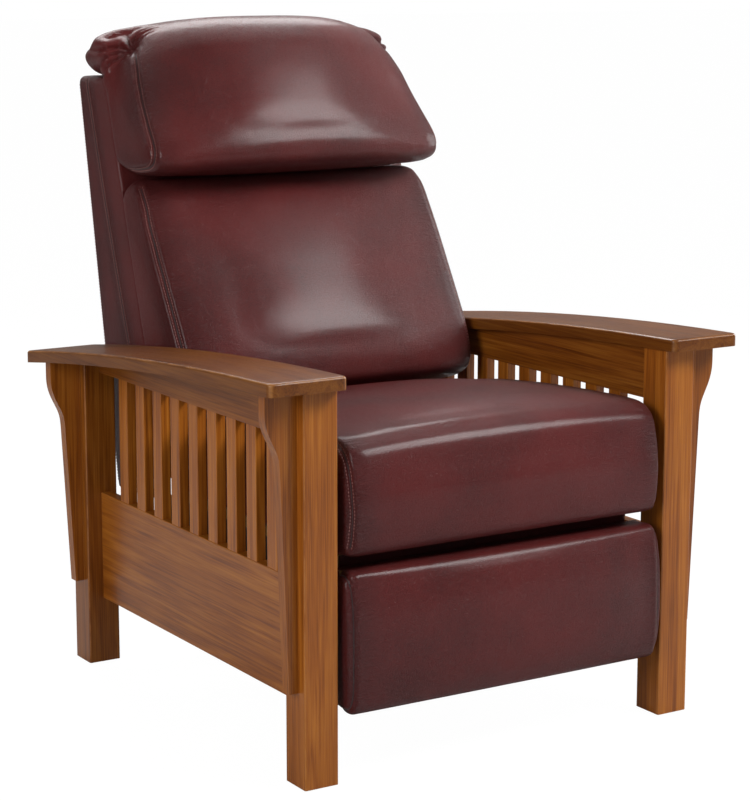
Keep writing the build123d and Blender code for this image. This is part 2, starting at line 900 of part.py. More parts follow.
# Footrest linkage
with BuildPart() as footrest_drive_links:
    link(drive_x, drive_pivot, drive_end, link_half_width, ((*drive_pivot, running_hole),))
    mirror(about=Plane.YZ)
save(footrest_drive_links, "footrest_drive_links")

with BuildPart() as footrest_torque_tube:
    rod(-drive_x, drive_x, *drive_pivot, torque_tube_radius)
    rod(-drive_x, drive_x, *drive_pivot, torque_tube_bore, Mode.SUBTRACT)
save(footrest_torque_tube, "footrest_torque_tube")

with BuildPart() as footrest_drive_pins:
    pivot_pin(drive_x, cross_x, *cross_pivot, pivot_head_radius)
    pivot_pin(drive_x + plate_thickness, seat_plate_x, *drive_end, pivot_head_radius)
    mirror(about=Plane.YZ)
save(footrest_drive_pins, "footrest_drive_pins")

with BuildPart() as footrest_cross_links:
    link(cross_x, footrest_pivot, cross_tail, link_half_width, ((*cross_pivot, running_hole),))
    mirror(about=Plane.YZ)
save(footrest_cross_links, "footrest_cross_links")

with BuildPart() as footrest_cross_pins:
    pivot_pin(cross_x + plate_thickness, drive_x, *footrest_pivot, pivot_head_radius)
    mirror(about=Plane.YZ)
save(footrest_cross_pins, "footrest_cross_pins")

with BuildPart() as footrest_swing_links:
    link(swing_x, swing_pivot, cross_tail, link_half_width, ((*swing_pivot, running_hole),))
    rod(swing_x + plate_thickness, cross_x - fit_gap, *cross_tail, pivot_radius)
    mirror(about=Plane.YZ)
save(footrest_swing_links, "footrest_swing_links")

with BuildPart() as footrest_connecting_links:
    link(
        seat_plate_x,
        drive_end,
        bracket_pivot,
        link_half_width,
        ((*drive_end, running_hole), (*bracket_pivot, pivot_radius + bracket_open_clearance)),
    )
    mirror(about=Plane.YZ)
save(footrest_connecting_links, "footrest_connecting_links")

# Footrest
board_rear = board_front + board_thickness
bracket_top = footrest_pivot[1] + bracket_boss_radius
bracket_foot = bracket_top - bracket_foot_height
footrest_screw_x = drive_x - bracket_flange / 2
footrest_screws_at = [bracket_foot + share * bracket_foot_height for share in footrest_screw_shares]


def footrest_screw_rods(radius, mode):
    """Add or cut the screws' shanks through the bracket flanges into the board."""
    with BuildSketch(Plane.XZ.offset(-along(board_rear + plate_thickness))) as shanks:
        for height in footrest_screws_at:
            with Locations((footrest_screw_x, height), (-footrest_screw_x, height)):
                Circle(radius)
    extrude(shanks.sketch, amount=screw_length, mode=mode)


with BuildPart() as footrest_board:
    box_between(
        (-board_half_width, along(board_front), board_bottom),
        (board_half_width, along(board_rear), board_bottom + board_height),
    )
    fillet(footrest_board.edges().filter_by(Axis.Y), rail_ease)
    footrest_screw_rods(screw_radius + screw_hole_clearance, Mode.SUBTRACT)
save(footrest_board, "footrest_board")

with BuildPart() as footrest_brackets:
    with BuildSketch(Plane.YZ.offset(drive_x)):
        with BuildLine():
            Polyline(
                (along(board_rear), bracket_foot),
                (along(board_rear), bracket_top),
                (along(footrest_pivot[0]), bracket_top),
                (along(bracket_pivot[0] + bracket_boss_radius), bracket_pivot[1]),
                (along(board_rear + bracket_boss_radius), bracket_foot),
                close=True,
            )
        make_face()
        for place, height in (footrest_pivot, bracket_pivot):
            with Locations((along(place), height)):
                Circle(bracket_boss_radius)
        with Locations((along(footrest_pivot[0]), footrest_pivot[1])):
            Circle(running_hole, mode=Mode.SUBTRACT)
    extrude(amount=plate_thickness)
    box_between(
        (drive_x - bracket_flange, along(board_rear), bracket_foot),
        (drive_x + plate_thickness, along(board_rear + plate_thickness), bracket_top),
    )
    mirror(about=Plane.YZ)
    footrest_screw_rods(screw_radius + screw_hole_clearance, Mode.SUBTRACT)
save(footrest_brackets, "footrest_brackets")

with BuildPart() as footrest_bracket_pins:
    pivot_pin(drive_x + plate_thickness, seat_plate_x, *bracket_pivot, pivot_head_radius)
    mirror(about=Plane.YZ)
save(footrest_bracket_pins, "footrest_bracket_pins")

with BuildPart() as footrest_screws:
    footrest_screw_rods(screw_radius, Mode.ADD)
    with BuildSketch(Plane.XZ.offset(-along(board_rear + plate_thickness))):
        for height in footrest_screws_at:
            with Locations((footrest_screw_x, height), (-footrest_screw_x, height)):
                Circle(screw_head_radius)
    extrude(amount=-screw_head_height)
save(footrest_screws, "footrest_screws")

pad_depth = board_front - fit_gap - pad_front
with BuildPart() as footrest_pad:
    cushion(
        pad_half_width,
        pad_edge_round,
        pad_crown,
        (-1, 0),
        (along(board_front - fit_gap), pad_bottom + pad_height / 2),
        shaped(pad_outline_shares, pad_front, pad_depth, pad_bottom, pad_height) + [None],
    )
save(footrest_pad, "footrest_pad")

# Back frame, most of it drawn in the plane of the inside back
lean = radians(back_lean)
back_plane = Plane(
    origin=(0, along(back_plane_place), back_plane_height),
    x_dir=(1, 0, 0),
    z_dir=(0, -cos(lean), sin(lean)),
)
stile_outer = bracket_x
stile_inner = stile_outer - stile_width
shell_slope = (shell_rear_top - shell_rear_bottom) / (shell_lean_height - shell_bottom)
shell_top_rear = along(shell_rear_top) - (shell_top_height - shell_lean_height)
shell_ceiling = shell_top_height - shell_wall


def inside_back(height, proud):
    """Y of the inside back at a height, for something that stands proud of its frame."""
    return along(back_plane_place) + (height - back_plane_height) * tan(lean) - proud / cos(lean)


def outside_back(height, inset):
    """Y of the outside back's rear face at a height, moved in by a wall."""
    return along(shell_rear_bottom) + (height - shell_bottom) * shell_slope - inset


def bolt_rods(x_start, x_end, radius, mode):
    """Add or cut the back bolts' shanks along X."""
    for reach in bolt_places:
        centre = back_plane.from_local_coords((0, reach, -bracket_inset))
        rod(x_start, x_end, centre.Y - frame_front, centre.Z, radius, mode)


with BuildPart() as back_stiles:
    with BuildSketch(Plane.YZ.offset(stile_inner)):
        with BuildLine():
            Polyline(
                (inside_back(back_plane_height, 0), back_plane_height),
                (inside_back(shell_ceiling, 0), shell_ceiling),
                (shell_top_rear - shell_wall, shell_ceiling),
                (outside_back(shell_lean_height - shell_wall, shell_wall), shell_lean_height - shell_wall),
                (outside_back(back_plane_height, shell_wall), back_plane_height),
                close=True,
            )
        make_face()
    extrude(amount=stile_width)
    bolt_rods(stile_inner, stile_outer, screw_radius + screw_hole_clearance, Mode.SUBTRACT)
    mirror(about=Plane.YZ)
save(back_stiles, "back_stiles")

with BuildPart() as back_rails:
    with BuildSketch(back_plane):
        for index in range(back_rail_count):
            rail_at = index * (back_rail_run - back_rail_height) / (back_rail_count - 1)
            with Locations((0, back_rail_height / 2 + rail_at)):
                Rectangle(2 * stile_inner, back_rail_height)
    extrude(amount=-back_rail_thickness)
save(back_rails, "back_rails")

with BuildPart() as back_webbing:
    with BuildSketch(back_plane):
        for index in range(webbing_count):
            with Locations((0, webbing_first + index * webbing_pitch)):
                Rectangle(2 * stile_outer, webbing_width)
    extrude(amount=webbing_thickness)
save(back_webbing, "back_webbing")

with BuildPart() as back_brackets:
    bracket_head = back_plane.from_local_coords((0, bracket_reach, -bracket_inset))
    bracket_knee = back_plane.from_local_coords((0, bracket_inset, -bracket_inset))
    with BuildSketch(Plane.YZ.offset(bracket_x)):
        with Locations((along(back_hinge[0]), back_hinge[1])):
            Circle(seat_ear_radius)
        with Locations(
            (along(drag_head[0]), drag_head[1]),
            (bracket_head.Y, bracket_head.Z),
            (bracket_knee.Y, bracket_knee.Z),
        ):
            Circle(bracket_end_radius)
        make_hull()
        with Locations((along(back_hinge[0]), back_hinge[1])):
            Circle(running_hole, mode=Mode.SUBTRACT)
    extrude(amount=plate_thickness)
    bolt_rods(bracket_x, bracket_x + plate_thickness, screw_radius + screw_hole_clearance, Mode.SUBTRACT)
    mirror(about=Plane.YZ)
save(back_brackets, "back_brackets")

with BuildPart() as back_bolts:
    bolt_rods(stile_inner - screw_head_height, stile_inner, screw_head_radius, Mode.ADD)
    bolt_rods(stile_inner, bracket_x + plate_thickness, screw_radius, Mode.ADD)
    mirror(about=Plane.YZ)
save(back_bolts, "back_bolts")

with BuildPart() as back_bracket_pins:
    pivot_pin(bracket_x + plate_thickness, lift_x, *drag_head, open_head_radius)
    mirror(about=Plane.YZ)
save(back_bracket_pins, "back_bracket_pins")

# Outside back: one panel over the rear and top, between two side panels
with BuildPart() as back_sides:
    with BuildSketch(Plane.YZ.offset(shell_half_width - shell_wall)):
        with BuildLine():
            Polyline(
                (inside_back(shell_top_height, 0), shell_top_height),
                (shell_top_rear, shell_top_height),
                (along(shell_rear_top), shell_lean_height),
                (along(shell_rear_bottom), shell_bottom),
                (along(shell_foot_place), shell_bottom),
                (along(shell_foot_place), shell_bottom + shell_foot_rise),
                (inside_back(shell_notch_height, 0), shell_notch_height),
                close=True,
            )
        make_face()
    extrude(amount=shell_wall)
    mirror(about=Plane.YZ)
save(back_sides, "back_sides")

with BuildPart() as back_panel:
    with BuildSketch(Plane.YZ.offset(-(shell_half_width - shell_wall))):
        with BuildLine():
            Polyline(
                (along(shell_rear_bottom), shell_bottom),
                (along(shell_rear_top), shell_lean_height),
                (shell_top_rear, shell_top_height),
                (inside_back(shell_top_height, 0), shell_top_height),
                (inside_back(shell_top_height, 0), shell_ceiling),
                (shell_top_rear - shell_wall, shell_ceiling),
                (outside_back(shell_lean_height - shell_wall, shell_wall), shell_lean_height - shell_wall),
                (outside_back(shell_bottom, shell_wall), shell_bottom),
                close=True,
            )
        make_face()
    extrude(amount=2 * (shell_half_width - shell_wall))
save(back_panel, "back_panel")

# Back cushions
lumbar_top = lumbar_bottom + lumbar_height
lumbar_middle = (lumbar_bottom + lumbar_top) / 2
lumbar_rear_top = lumbar_bottom + lumbar_rear_top_share * lumbar_height
cushion_proud = webbing_thickness + fit_gap
with BuildPart() as lumbar_cushion:
    cushion(
        lumbar_half_width,
        lumbar_edge_round,
        lumbar_crown,
        (-cos(lean), sin(lean)),
        (inside_back(lumbar_middle, cushion_proud), lumbar_middle),
        [(inside_back(lumbar_bottom, cushion_proud), lumbar_bottom, 0.0)]
        + shaped(lumbar_outline_shares, lumbar_front, lumbar_depth, lumbar_bottom, lumbar_height)
        + [(inside_back(lumbar_rear_top, cushion_proud), lumbar_rear_top, 0.0), None],
    )
save(lumbar_cushion, "lumbar_cushion")

wrap_height = shell_top_height + fit_gap
with BuildPart() as headrest_cushion:
    cushion(
        headrest_half_width,
        headrest_edge_round,
        headrest_crown,
        (-cos(lean), sin(lean)),
        (inside_back(wrap_height, cushion_proud), wrap_height),
        [(inside_back(headrest_bottom, cushion_proud), headrest_bottom, 0.0)]
        + shaped(headrest_outline_shares, headrest_front, headrest_depth, headrest_bottom, headrest_height)
        + [
            (along(headrest_front + headrest_depth), wrap_height, 0.0),
            None,
            (inside_back(wrap_height, cushion_proud), wrap_height, 0.0),
            None,
        ],
    )
save(headrest_cushion, "headrest_cushion")
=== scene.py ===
"""Looks of the mission reclining armchair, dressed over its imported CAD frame. Lengths are in metres."""

import json
import logging
import math
from collections.abc import Callable
from dataclasses import dataclass, field
from enum import Enum

import bmesh
import bpy
import numpy as np
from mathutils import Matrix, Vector
from mathutils.bvhtree import BVHTree


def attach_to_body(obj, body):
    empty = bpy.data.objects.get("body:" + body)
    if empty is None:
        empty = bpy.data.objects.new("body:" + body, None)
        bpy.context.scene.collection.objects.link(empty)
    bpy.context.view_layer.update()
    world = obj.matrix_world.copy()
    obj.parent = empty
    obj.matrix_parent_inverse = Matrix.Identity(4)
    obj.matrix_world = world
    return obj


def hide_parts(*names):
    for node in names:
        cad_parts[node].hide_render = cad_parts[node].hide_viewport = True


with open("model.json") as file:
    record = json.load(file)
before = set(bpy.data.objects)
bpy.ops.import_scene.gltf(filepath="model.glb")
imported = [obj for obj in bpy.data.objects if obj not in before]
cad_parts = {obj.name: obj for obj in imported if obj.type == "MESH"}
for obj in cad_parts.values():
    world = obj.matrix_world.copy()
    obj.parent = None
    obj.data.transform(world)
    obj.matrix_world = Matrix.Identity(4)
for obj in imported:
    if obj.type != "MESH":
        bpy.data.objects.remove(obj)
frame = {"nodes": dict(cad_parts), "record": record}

log = logging.getLogger("armchair")

Colour = tuple[float, float, float]
Place = tuple[float, float, float]
Table = tuple[tuple[float, float], ...]

# The plane of the inside back, which the cushions rest on, and the directions forward of it and up along it
BACK_LEAN = math.radians(17.6)
BACK_FOOT_Y = 0.1635
BACK_FOOT_Z = 0.400
CUSHION_PROUD = 0.0015
SHELL_TOP_Z = 1.0023
FORWARD_OF_BACK = (-math.cos(BACK_LEAN), math.sin(BACK_LEAN))
UP_THE_BACK = (math.sin(BACK_LEAN), math.cos(BACK_LEAN))

# How far apart a seam's points lie, how often they are relaxed, and the stitches' distance from a seam
SEAM_STEP = 0.004
SEAM_ROUNDS = 14
STITCH_OFF = 0.0042

# Plain frame wood, from its darkest tone to its paler edges (rubbed wear and a painted highlight); and for each stained
# board, how far its stain is scaled lighter or darker as painted light and shade
HIDDEN_WOOD = ((0.150, 0.080, 0.032), (0.250, 0.145, 0.062), (0.340, 0.210, 0.100), (0.40, 0.27, 0.15))
BOARD_LIGHT_AND_SHADE = {"arm_top": 0.54, "front_post": 1.16, "rear_post": 0.80, "top_rail": 0.84, "slats": 1.20}

# The cloth that a cushion's skin is stuffed as
STUFFING = {
    "quality": 4,
    "mass": 0.4,
    "air_damping": 2.0,
    "tension_stiffness": 25.0,
    "compression_stiffness": 25.0,
    "shear_stiffness": 12.0,
    "bending_stiffness": 4.0,
    "use_pressure": True,
    "uniform_pressure_force": 4.0,
    "shrink_min": -0.003,
    "vertex_group_mass": "sewn",
    "pin_stiffness": 0.6,
}
STUFFING_FRAMES = 20


class Slot(Enum):
    """Material slots of the part's record."""

    LEATHER = "leather"
    FELT = "felt"
    WEBBING = "webbing"
    SCREW = "screw_steel"


class Grain(Enum):
    """The direction that the grain runs in a board, as its X, Y or Z."""

    ACROSS = 0
    DEPTH = 1
    UPRIGHT = 2


def inside_back(height: float | np.ndarray, proud: float = CUSHION_PROUD) -> float | np.ndarray:
    """Y of the inside back at a height, for something that stands proud of its frame."""
    return BACK_FOOT_Y + (height - BACK_FOOT_Z) * math.tan(BACK_LEAN) - proud / math.cos(BACK_LEAN)


def rise(values: np.ndarray, start: float, width: float) -> np.ndarray:
    """0 up to a start, 1 from a width beyond it, and straight between."""
    return np.clip((values - start) / width, 0.0, 1.0)


def bell(values: np.ndarray, width: float) -> np.ndarray:
    """1 at nought, falling away to nothing a few widths off."""
    return np.exp(-((values / width) ** 2))


def operator(operation: str, mirrored: bool = False) -> Callable[["Signal", "Signal | float"], "Signal"]:
    """An operator of a signal, which adds one Math node.

    Args:
        operation: The node's operation.
        mirrored: True where the signal stands on the right.

    Returns:
        The method.
    """

    def method(signal: "Signal", other: "Signal | float") -> "Signal":
        """Add the node."""
        return signal.combined(operation, *((other, signal) if mirrored else (signal, other)))

    return method


class Signal:
    """A number in a shader tree that takes part in arithmetic."""

    __add__, __radd__ = operator("ADD"), operator("ADD", True)
    __sub__, __rsub__ = operator("SUBTRACT"), operator("SUBTRACT", True)
    __mul__, __rmul__ = operator("MULTIPLY"), operator("MULTIPLY", True)
    over = operator("MAXIMUM")

    def __init__(self, tree: bpy.types.NodeTree, socket: bpy.types.NodeSocket) -> None:
        """Keep the tree and the socket that holds the number."""
        self.tree = tree
        self.socket = socket

    def combined(self, operation: str, *operands: "Signal | float") -> "Signal":
        """The result of one Math node on its operands, in order."""
        made = add_node(self.tree, "ShaderNodeMath", dict(enumerate(operands)), operation=operation)
        return Signal(self.tree, made.outputs[0])

    def size(self) -> "Signal":
        """Absolute value."""
        return self.combined("ABSOLUTE", self)

    def sine(self) -> "Signal":
        """Sine of an angle in radians."""
        return self.combined("SINE", self)

    def step(self, low: float, high: float) -> "Signal":
        """A smooth rise from 0 at low to 1 at high."""
        fed = {"Value": self, "From Min": low, "From Max": high}
        made = add_node(self.tree, "ShaderNodeMapRange", fed, interpolation_type="SMOOTHSTEP")
        return Signal(self.tree, made.outputs["Result"])


def add_node(tree: bpy.types.NodeTree, kind: str, fed: dict | None = None, **settings: object) -> bpy.types.Node:
    """Add a node with its settings and what its inputs take.

    Args:
        tree: The tree that it joins.
        kind: The node's type.
        fed: Values, signals, sockets or nodes (for their first output) by input name or index.
        settings: The node's own properties.

    Returns:
        The node.
    """
    made = tree.nodes.new(kind)
    for name, value in settings.items():
        setattr(made, name, value)
    for name, value in (fed or {}).items():
        if isinstance(value, Signal):
            value = value.socket
        if isinstance(value, bpy.types.Node):
            value = value.outputs[0]
        if isinstance(value, bpy.types.NodeSocket):
            tree.links.new(value, made.inputs[name])
        else:
            made.inputs[name].default_value = value
    return made


class Recipe:
    """One material under construction, with its surface shader and its nodes."""

    def __init__(self, name: str, roughness: float, **constants: float) -> None:
        """Start a material.

        Args:
            name: The material's name.
            roughness: The surface's plain roughness.
            constants: Surface values by socket name, with _ for a space.
        """
        self.material = bpy.data.materials.new(name)
        self.material.use_nodes = True
        self.tree = self.material.node_tree
        self.surface = self.tree.nodes["Principled BSDF"]
        for socket, value in {"Roughness": roughness, **constants}.items():
            self.surface.inputs[socket.replace("_", " ")].default_value = value
        self.place = self.node("ShaderNodeTexCoord").outputs["Object"]

    def node(self, kind: str, fed: dict | None = None, **settings: object) -> bpy.types.ShaderNode:
        """Add a node to the material."""
        return add_node(self.tree, kind, fed, **settings)

    def read(self, node: bpy.types.ShaderNode, output: str | int) -> Signal:
        """One output of a node, for arithmetic."""
        return Signal(self.tree, node.outputs[output])

    def stored(self, attribute: str) -> Signal:
        """A value that the mesh keeps at its points."""
        return self.read(self.node("ShaderNodeAttribute", attribute_name=attribute), "Fac")

    def stretched(self, scale: Place, offset: Place = (0.0, 0.0, 0.0)) -> bpy.types.NodeSocket:
        """The object's own coordinates, scaled and moved."""
        return self.node("ShaderNodeMapping", {"Vector": self.place, "Scale": scale, "Location": offset}).outputs[0]

    def noise(self, vector: bpy.types.NodeSocket, scale: float, detail: float = 2.0, twist: float = 0.0) -> Signal:
        """A cloudy pattern from 0 to 1.

        Args:
            vector: Where it is read.
            scale: Clouds per unit.
            detail: Octaves of finer cloud.
            twist: How far it is bent by itself.

        Returns:
            The pattern's value.
        """
        fed = {"Vector": vector, "Scale": scale, "Detail": detail, "Distortion": twist}
        return self.read(self.node("ShaderNodeTexNoise", fed), "Fac")

    def edges(self, vector: bpy.types.NodeSocket, scale: float) -> Signal:
        """Distance from the edges in a pattern of cells."""
        made = self.node("ShaderNodeTexVoronoi", {"Vector": vector, "Scale": scale}, feature="DISTANCE_TO_EDGE")
        return self.read(made, "Distance")

    def mixed(self, share: Signal, *colours: bpy.types.NodeSocket | Colour) -> bpy.types.NodeSocket:
        """Two colours mixed by a share."""
        first, second = ((*colour, 1.0) if isinstance(colour, tuple) else colour for colour in colours)
        return self.node("ShaderNodeMix", {0: share, 6: first, 7: second}, data_type="RGBA").outputs[2]

    def ramp(self, share: Signal, *stops: tuple[float, Colour]) -> bpy.types.NodeSocket:
        """A colour ramp read at a share."""
        made = self.node("ShaderNodeValToRGB", {0: share})
        elements = made.color_ramp.elements
        while len(elements) < len(stops):
            elements.new(0.5)
        for element, (position, colour) in zip(elements, stops):
            element.position = position
            element.color = (*colour, 1.0)
        return made.outputs[0]

    def finish(
        self, colour: bpy.types.NodeSocket, roughness: Signal, *bumps: tuple[Signal, float, float]
    ) -> bpy.types.Material:
        """Connect the surface.

        Args:
            colour: The colour.
            roughness: The roughness.
            bumps: Each one a height, its depth in metres and its strength.

        Returns:
            The material.
        """
        self.tree.links.new(colour, self.surface.inputs["Base Color"])
        self.tree.links.new(roughness.socket, self.surface.inputs["Roughness"])
        below = {}
        for height, depth, strength in bumps:
            fed = {"Height": height, "Distance": depth, "Strength": strength}
            below = {"Normal": self.node("ShaderNodeBump", fed | below)}
        self.tree.links.new(below["Normal"].outputs[0], self.surface.inputs["Normal"])
        return self.material


@dataclass(frozen=True)
class LeatherFinish:
    """Pebbled oxblood leather with a soft topcoat, puckered where it is sewn, and darkened near its seams as painted
    shade.
    """

    deep: Colour = (0.058, 0.0052, 0.0050)
    body: Colour = (0.114, 0.0094, 0.0088)
    worn: Colour = (0.152, 0.0158, 0.0148)
    pebble: float = 560.0
    crease: float = 170.0

    def build(self) -> bpy.types.Material:
        """Make the material."""
        made = Recipe("leather_oxblood", 0.34, Coat_Weight=0.22, Coat_Roughness=0.21, Specular_IOR_Level=0.26)
        seam = made.stored("seam")
        wander = made.node("ShaderNodeTexNoise", {"Vector": made.place, "Scale": 60.0}).outputs[1]
        bent = made.node("ShaderNodeVectorMath", {0: made.place, 1: wander}, operation="ADD").outputs[0]
        pebbles = made.edges(made.stretched((1.0, 1.0, 1.0)), self.pebble).step(0.0, 0.32)
        drawn = (made.edges(bent, 62.0) * 6.0).step(0.0, 1.0)
        fine = made.noise(made.place, self.crease, 4.0, 0.6)
        patch = made.noise(made.place, 7.0, 3.0, 0.3)
        lumps = made.noise(made.place, 21.0, 2.0, 0.8)
        fold = (made.noise(made.stretched((22.0, 95.0, 95.0)), 1.0, 2.0, 1.2) - 0.5).size() * 2.0
        depth = pebbles * 0.6 + fine * 0.4
        tone = made.ramp(patch * 0.62 + depth * 0.38, (0.28, self.deep), (0.52, self.body), (0.86, self.worn))
        return made.finish(
            # Near the seams the leather is mixed toward its deepest tone: painted shade in the sewn grooves, lighter
            # where the puckers rise.
            made.mixed(seam * (1.0 - fold) * 0.35, tone, self.deep),
            0.27 + fine * 0.16 + patch * 0.06 + (1.0 - pebbles) * 0.12,
            (lumps, 0.0040, 0.30),
            (fold * seam, 0.0052, 0.90),
            (drawn * seam, 0.0018, 0.55),
            (depth, 0.00130, 0.90),
        )


@dataclass(frozen=True)
class WoodFinish:
    """Straight-grained hardwood under a satin stain, paler on its rounded edges: partly rubbed wear, partly a painted
    highlight.
    """

    name: str
    grain: Grain
    dark: Colour = (0.108, 0.0240, 0.0024)
    middle: Colour = (0.262, 0.0740, 0.0066)
    light: Colour = (0.385, 0.1320, 0.0160)
    # Colour of the paler edges: rubbed wear and a painted highlight.
    rubbed_and_highlight: Colour = (0.520, 0.2250, 0.0600)
    sheen: float = 0.18
    offset: Place = (0.0, 0.0, 0.0)
    broad_stretch: float = 0.045
    streak_stretch: float = 0.016

    def along(self, made: Recipe, stretch: float) -> bpy.types.NodeSocket:
        """The board's coordinates, drawn out along its grain."""
        scale = [1.0, 1.0, 1.0]
        scale[self.grain.value] = stretch
        return made.stretched(tuple(scale), self.offset)

    def build(self) -> bpy.types.Material:
        """Make the material."""
        made = Recipe(self.name, 0.42, Coat_Weight=self.sheen, Coat_Roughness=0.2, Specular_IOR_Level=0.28)
        broad, streaks = self.along(made, self.broad_stretch), self.along(made, self.streak_stretch)
        growth = made.noise(broad, 34.0, 4.0, 0.7)
        rings = ((growth * 22.0 + made.noise(broad, 12.0, 2.0) * 9.0).sine() + 1.0) * 0.5
        fibre = made.noise(streaks, 420.0, 5.0, 0.2)
        pores = made.noise(streaks, 900.0, 2.0).step(0.56, 0.74)
        cloud = made.noise(made.place, 5.5, 2.0, 0.4)
        share = rings * 0.13 + growth * 0.19 + fibre * 0.50 + cloud * 0.18
        tone = made.ramp(share, (0.30, self.dark), (0.48, self.middle), (0.66, self.light))
        tone = made.mixed(pores * 0.34, tone, self.dark)
        normal = made.node("ShaderNodeNewGeometry").outputs["Normal"]
        split = made.node("ShaderNodeSeparateXYZ", {0: normal})
        largest = made.read(split, 0).size()
        for index in (1, 2):
            largest = largest.over(made.read(split, index).size())
        # Rounded edges, broken up by noise, are painted paler: partly rubbed wear, partly a painted highlight where the
        # fillets catch the light.
        edge = (1.0 - largest).step(0.03, 0.22) * made.noise(made.place, 38.0, 3.0).step(0.30, 0.62)
        tone = made.mixed(edge * 0.38, tone, self.rubbed_and_highlight)
        rough = 0.25 + fibre * 0.16 + pores * 0.12 + edge * 0.08
        return made.finish(tone, rough, (fibre * 0.7 + pores * -0.5, 0.00035, 0.35), (cloud, 0.0008, 0.12))


@dataclass(frozen=True)
class MetalFinish:
    """Rolled or turned steel, brushed and slightly stained."""

    name: str
    colour: Colour
    stain: Colour
    roughness: float
    brushed: float

    def build(self) -> bpy.types.Material:
        """Make the material."""
        made = Recipe(self.name, self.roughness, Metallic=1.0)
        scratch = made.noise(made.stretched((1.0, 0.06, 1.0)), self.brushed, 3.0)
        bloom = made.noise(made.place, 34.0, 4.0, 0.5)
        tone = made.mixed(bloom.step(0.42, 0.72) * 0.7, self.colour, self.stain)
        rough = self.roughness - 0.10 + scratch * 0.16 + bloom * 0.12
        return made.finish(tone, rough, (scratch, 0.0002, 0.25), (bloom, 0.0006, 0.12))


@dataclass(frozen=True)
class PaintFinish:
    """Black satin paint on steel plate, scuffed to the metal's grey here and there."""

    colour: Colour = (0.022, 0.022, 0.024)
    scuffed: Colour = (0.10, 0.10, 0.105)

    def build(self) -> bpy.types.Material:
        """Make the material."""
        made = Recipe("link_black_paint", 0.38, Coat_Weight=0.2, Coat_Roughness=0.25)
        orange_peel = made.noise(made.place, 620.0, 2.0)
        cloud = made.noise(made.place, 30.0, 4.0, 0.6)
        scuffs = made.noise(made.stretched((1.0, 0.15, 1.0)), 420.0, 4.0, 0.4).step(0.62, 0.74) * cloud.step(0.45, 0.65)
        tone = made.mixed(scuffs, self.colour, self.scuffed)
        return made.finish(tone, 0.32 + cloud * 0.16 + scuffs * 0.1, (orange_peel, 0.0002, 0.3))


@dataclass(frozen=True)
class ThreadFinish:
    """Bonded thread, twisted in two strands; the same finish colours the dark seam cords of painted shade."""

    name: str
    colour: Colour
    shade: Colour

    def build(self) -> bpy.types.Material:
        """Make the material."""
        made = Recipe(self.name, 0.48, Sheen_Weight=0.25)
        twist = made.noise(made.stretched((1.0, 1.0, 1.0)), 1500.0, 1.0)
        wear = made.noise(made.place, 45.0, 2.0)
        tone = made.mixed((twist * 0.6 + wear * 0.4).step(0.3, 0.7), self.shade, self.colour)
        return made.finish(tone, 0.40 + twist * 0.2, (twist, 0.0002, 0.5))


@dataclass(frozen=True)
class WeaveFinish:
    """Elastic back webbing, plain woven, with darker edge cords and two stripes."""

    colour: Colour = (0.030, 0.030, 0.032)
    stripe: Colour = (0.20, 0.19, 0.17)
    crossing: Colour = (0.09, 0.09, 0.09)
    thread: float = 2600.0

    def build(self) -> bpy.types.Material:
        """Make the material."""
        made = Recipe("webbing_weave", 0.8, Sheen_Weight=0.2)
        split = made.node("ShaderNodeSeparateXYZ", {0: made.place})
        warp, weft = (((made.read(split, axis) * self.thread).sine() + 1.0) * 0.5 for axis in (0, 2))
        weave = (warp - weft).size()
        fuzz = made.noise(made.place, 700.0, 2.0)
        tone = made.mixed(made.stored("stripe"), self.colour, self.stripe)
        tone = made.mixed(weave * 0.5 + fuzz * 0.2, tone, self.crossing)
        return made.finish(tone, 0.70 + fuzz * 0.2, (weave, 0.0005, 0.7))


@dataclass(frozen=True)
class FeltFinish:
    """Needled felt pressed from mixed waste fibre."""

    dark: Colour = (0.13, 0.12, 0.11)
    colour: Colour = (0.25, 0.235, 0.21)
    fleck: Colour = (0.07, 0.075, 0.09)

    def build(self) -> bpy.types.Material:
        """Make the material."""
        made = Recipe("felt_needled", 0.95, Sheen_Weight=0.35)
        fibre = made.noise(made.stretched((1.0, 0.4, 1.0)), 520.0, 5.0, 2.0)
        depth = fibre * 0.6 + made.noise(made.place, 70.0, 3.0, 1.0) * 0.4
        flecks = made.noise(made.stretched((0.3, 1.0, 1.0)), 260.0, 2.0, 1.5).step(0.60, 0.68)
        tone = made.mixed(flecks, made.ramp(depth, (0.3, self.dark), (0.7, self.colour)), self.fleck)
        return made.finish(tone, 0.86 + fibre * 0.1, (depth, 0.0016, 0.6))


@dataclass(frozen=True)
class GlideFinish:
    """Moulded nylon, scuffed from the floor."""

    colour: Colour = (0.030, 0.028, 0.027)
    scuffed: Colour = (0.12, 0.11, 0.10)

    def build(self) -> bpy.types.Material:
        """Make the material."""
        made = Recipe("glide_nylon", 0.45)
        scuff = made.noise(made.stretched((1.0, 1.0, 0.3)), 340.0, 4.0, 0.8)
        tone = made.mixed(scuff.step(0.5, 0.8) * 0.6, self.colour, self.scuffed)
        return made.finish(tone, 0.38 + scuff * 0.25, (scuff, 0.0002, 0.4))


